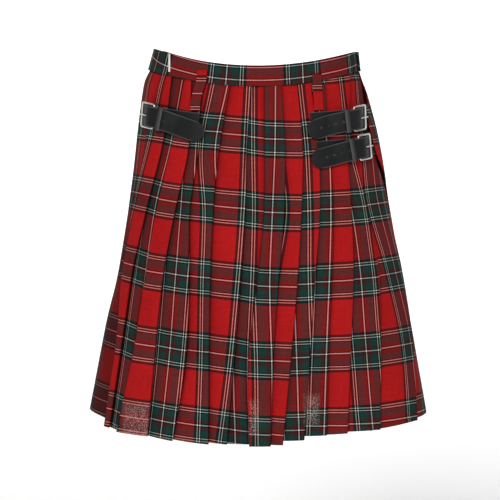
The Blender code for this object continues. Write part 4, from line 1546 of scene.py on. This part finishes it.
# --- scene ----------------------------------------------------------------------------------------
def make_stage(material):
    """Pale floor that sweeps up behind into a wall."""
    rows = [(-STAGE_HALF, 0.0)]
    for i in range(STAGE_STEPS + 1):
        bend = math.radians(90 * i / STAGE_STEPS)
        rows.append((STAGE_BEND_FROM + STAGE_BEND * math.sin(bend), STAGE_BEND * (1 - math.cos(bend))))
    rows.append((STAGE_BEND_FROM + STAGE_BEND, STAGE_HALF))
    points, faces = [], []
    for y, up in rows:
        points.append((-STAGE_HALF, y, FLOOR_HEIGHT + up))
        points.append((STAGE_HALF, y, FLOOR_HEIGHT + up))
    for i in range(len(rows) - 1):
        faces.append((2 * i, 2 * i + 1, 2 * i + 3, 2 * i + 2))
    mesh = bpy.data.meshes.new("stage")
    mesh.from_pydata(points, [], faces)
    mesh.polygons.foreach_set("use_smooth", [True] * len(mesh.polygons))
    mesh.materials.append(material)
    new_object("stage", mesh)


def towards(direction):
    """Turn that points a camera or a lamp this way."""
    return direction.to_track_quat("-Z", "Y").to_euler()


def make_camera_and_light():
    scene = bpy.context.scene
    lens = bpy.data.cameras.new("camera")
    lens.lens = CAMERA_LENS
    lens.sensor_width = CAMERA_SENSOR
    camera = new_object("camera", lens)
    camera.location = CAMERA_AT
    camera.rotation_euler = towards(CAMERA_AIM - CAMERA_AT)
    scene.camera = camera
    world = bpy.data.worlds.new("studio")
    world.use_nodes = True
    sky = world.node_tree.nodes["Background"]
    sky.inputs["Color"].default_value = (1, 1, 1, 1)
    sky.inputs["Strength"].default_value = SKY_POWER
    scene.world = world
    lamp = bpy.data.lights.new("sun", "SUN")
    lamp.energy = SUN_POWER
    lamp.angle = SUN_SPREAD
    new_object("sun", lamp).rotation_euler = towards(SUN_WAY)
    lamp = bpy.data.lights.new("fill", "AREA")
    lamp.shape = "SQUARE"
    lamp.size = FILL_SIZE
    lamp.energy = FILL_POWER
    fill = new_object("fill", lamp)
    fill.location = FILL_AT
    fill.rotation_euler = towards(FILL_AIM - FILL_AT)
    scene.view_settings.view_transform = "Standard"


def main():
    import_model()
    tartan = tartan_wool(make_tartan_group())
    leather = black_leather()
    nickel = nickel_wire()

    panel, panel_width = make_pleated_panel()
    give(panel, tartan, "pleated_panel")
    over, over_width = make_apron("kilt_over_apron", over_apron_path, OVER_APRON_WAVE, OVER_APRON_PHASE)
    give(over, tartan, "over_apron")
    under, under_width = make_apron("kilt_under_apron", under_apron_path, UNDER_APRON_WAVE, UNDER_APRON_PHASE)
    give(under, tartan, "under_apron")
    band, band_length = make_waistband()
    give(band, tartan, "waistband")
    for side, stops in LOOPS.items():
        loop, loop_length = make_belt_loop(side, stops)
        give(loop, tartan, "belt_loop_" + side)

    for side, facts in STRAPS.items():
        line = StrapLine(facts["angles"], facts["heights"], facts["turn"])
        give(make_strap(side, line, facts), leather, "strap_" + side)
        give(make_chape(side, line, facts), leather, "chape_" + side)
        give(make_keeper(side, line, facts), leather, "keeper_" + side)
        give(make_buckle(side, line), nickel, "buckle_" + side)
        give(make_prong(side, line), nickel, "prong_" + side)

    make_stage(pale_stage())
    make_camera_and_light()


main()
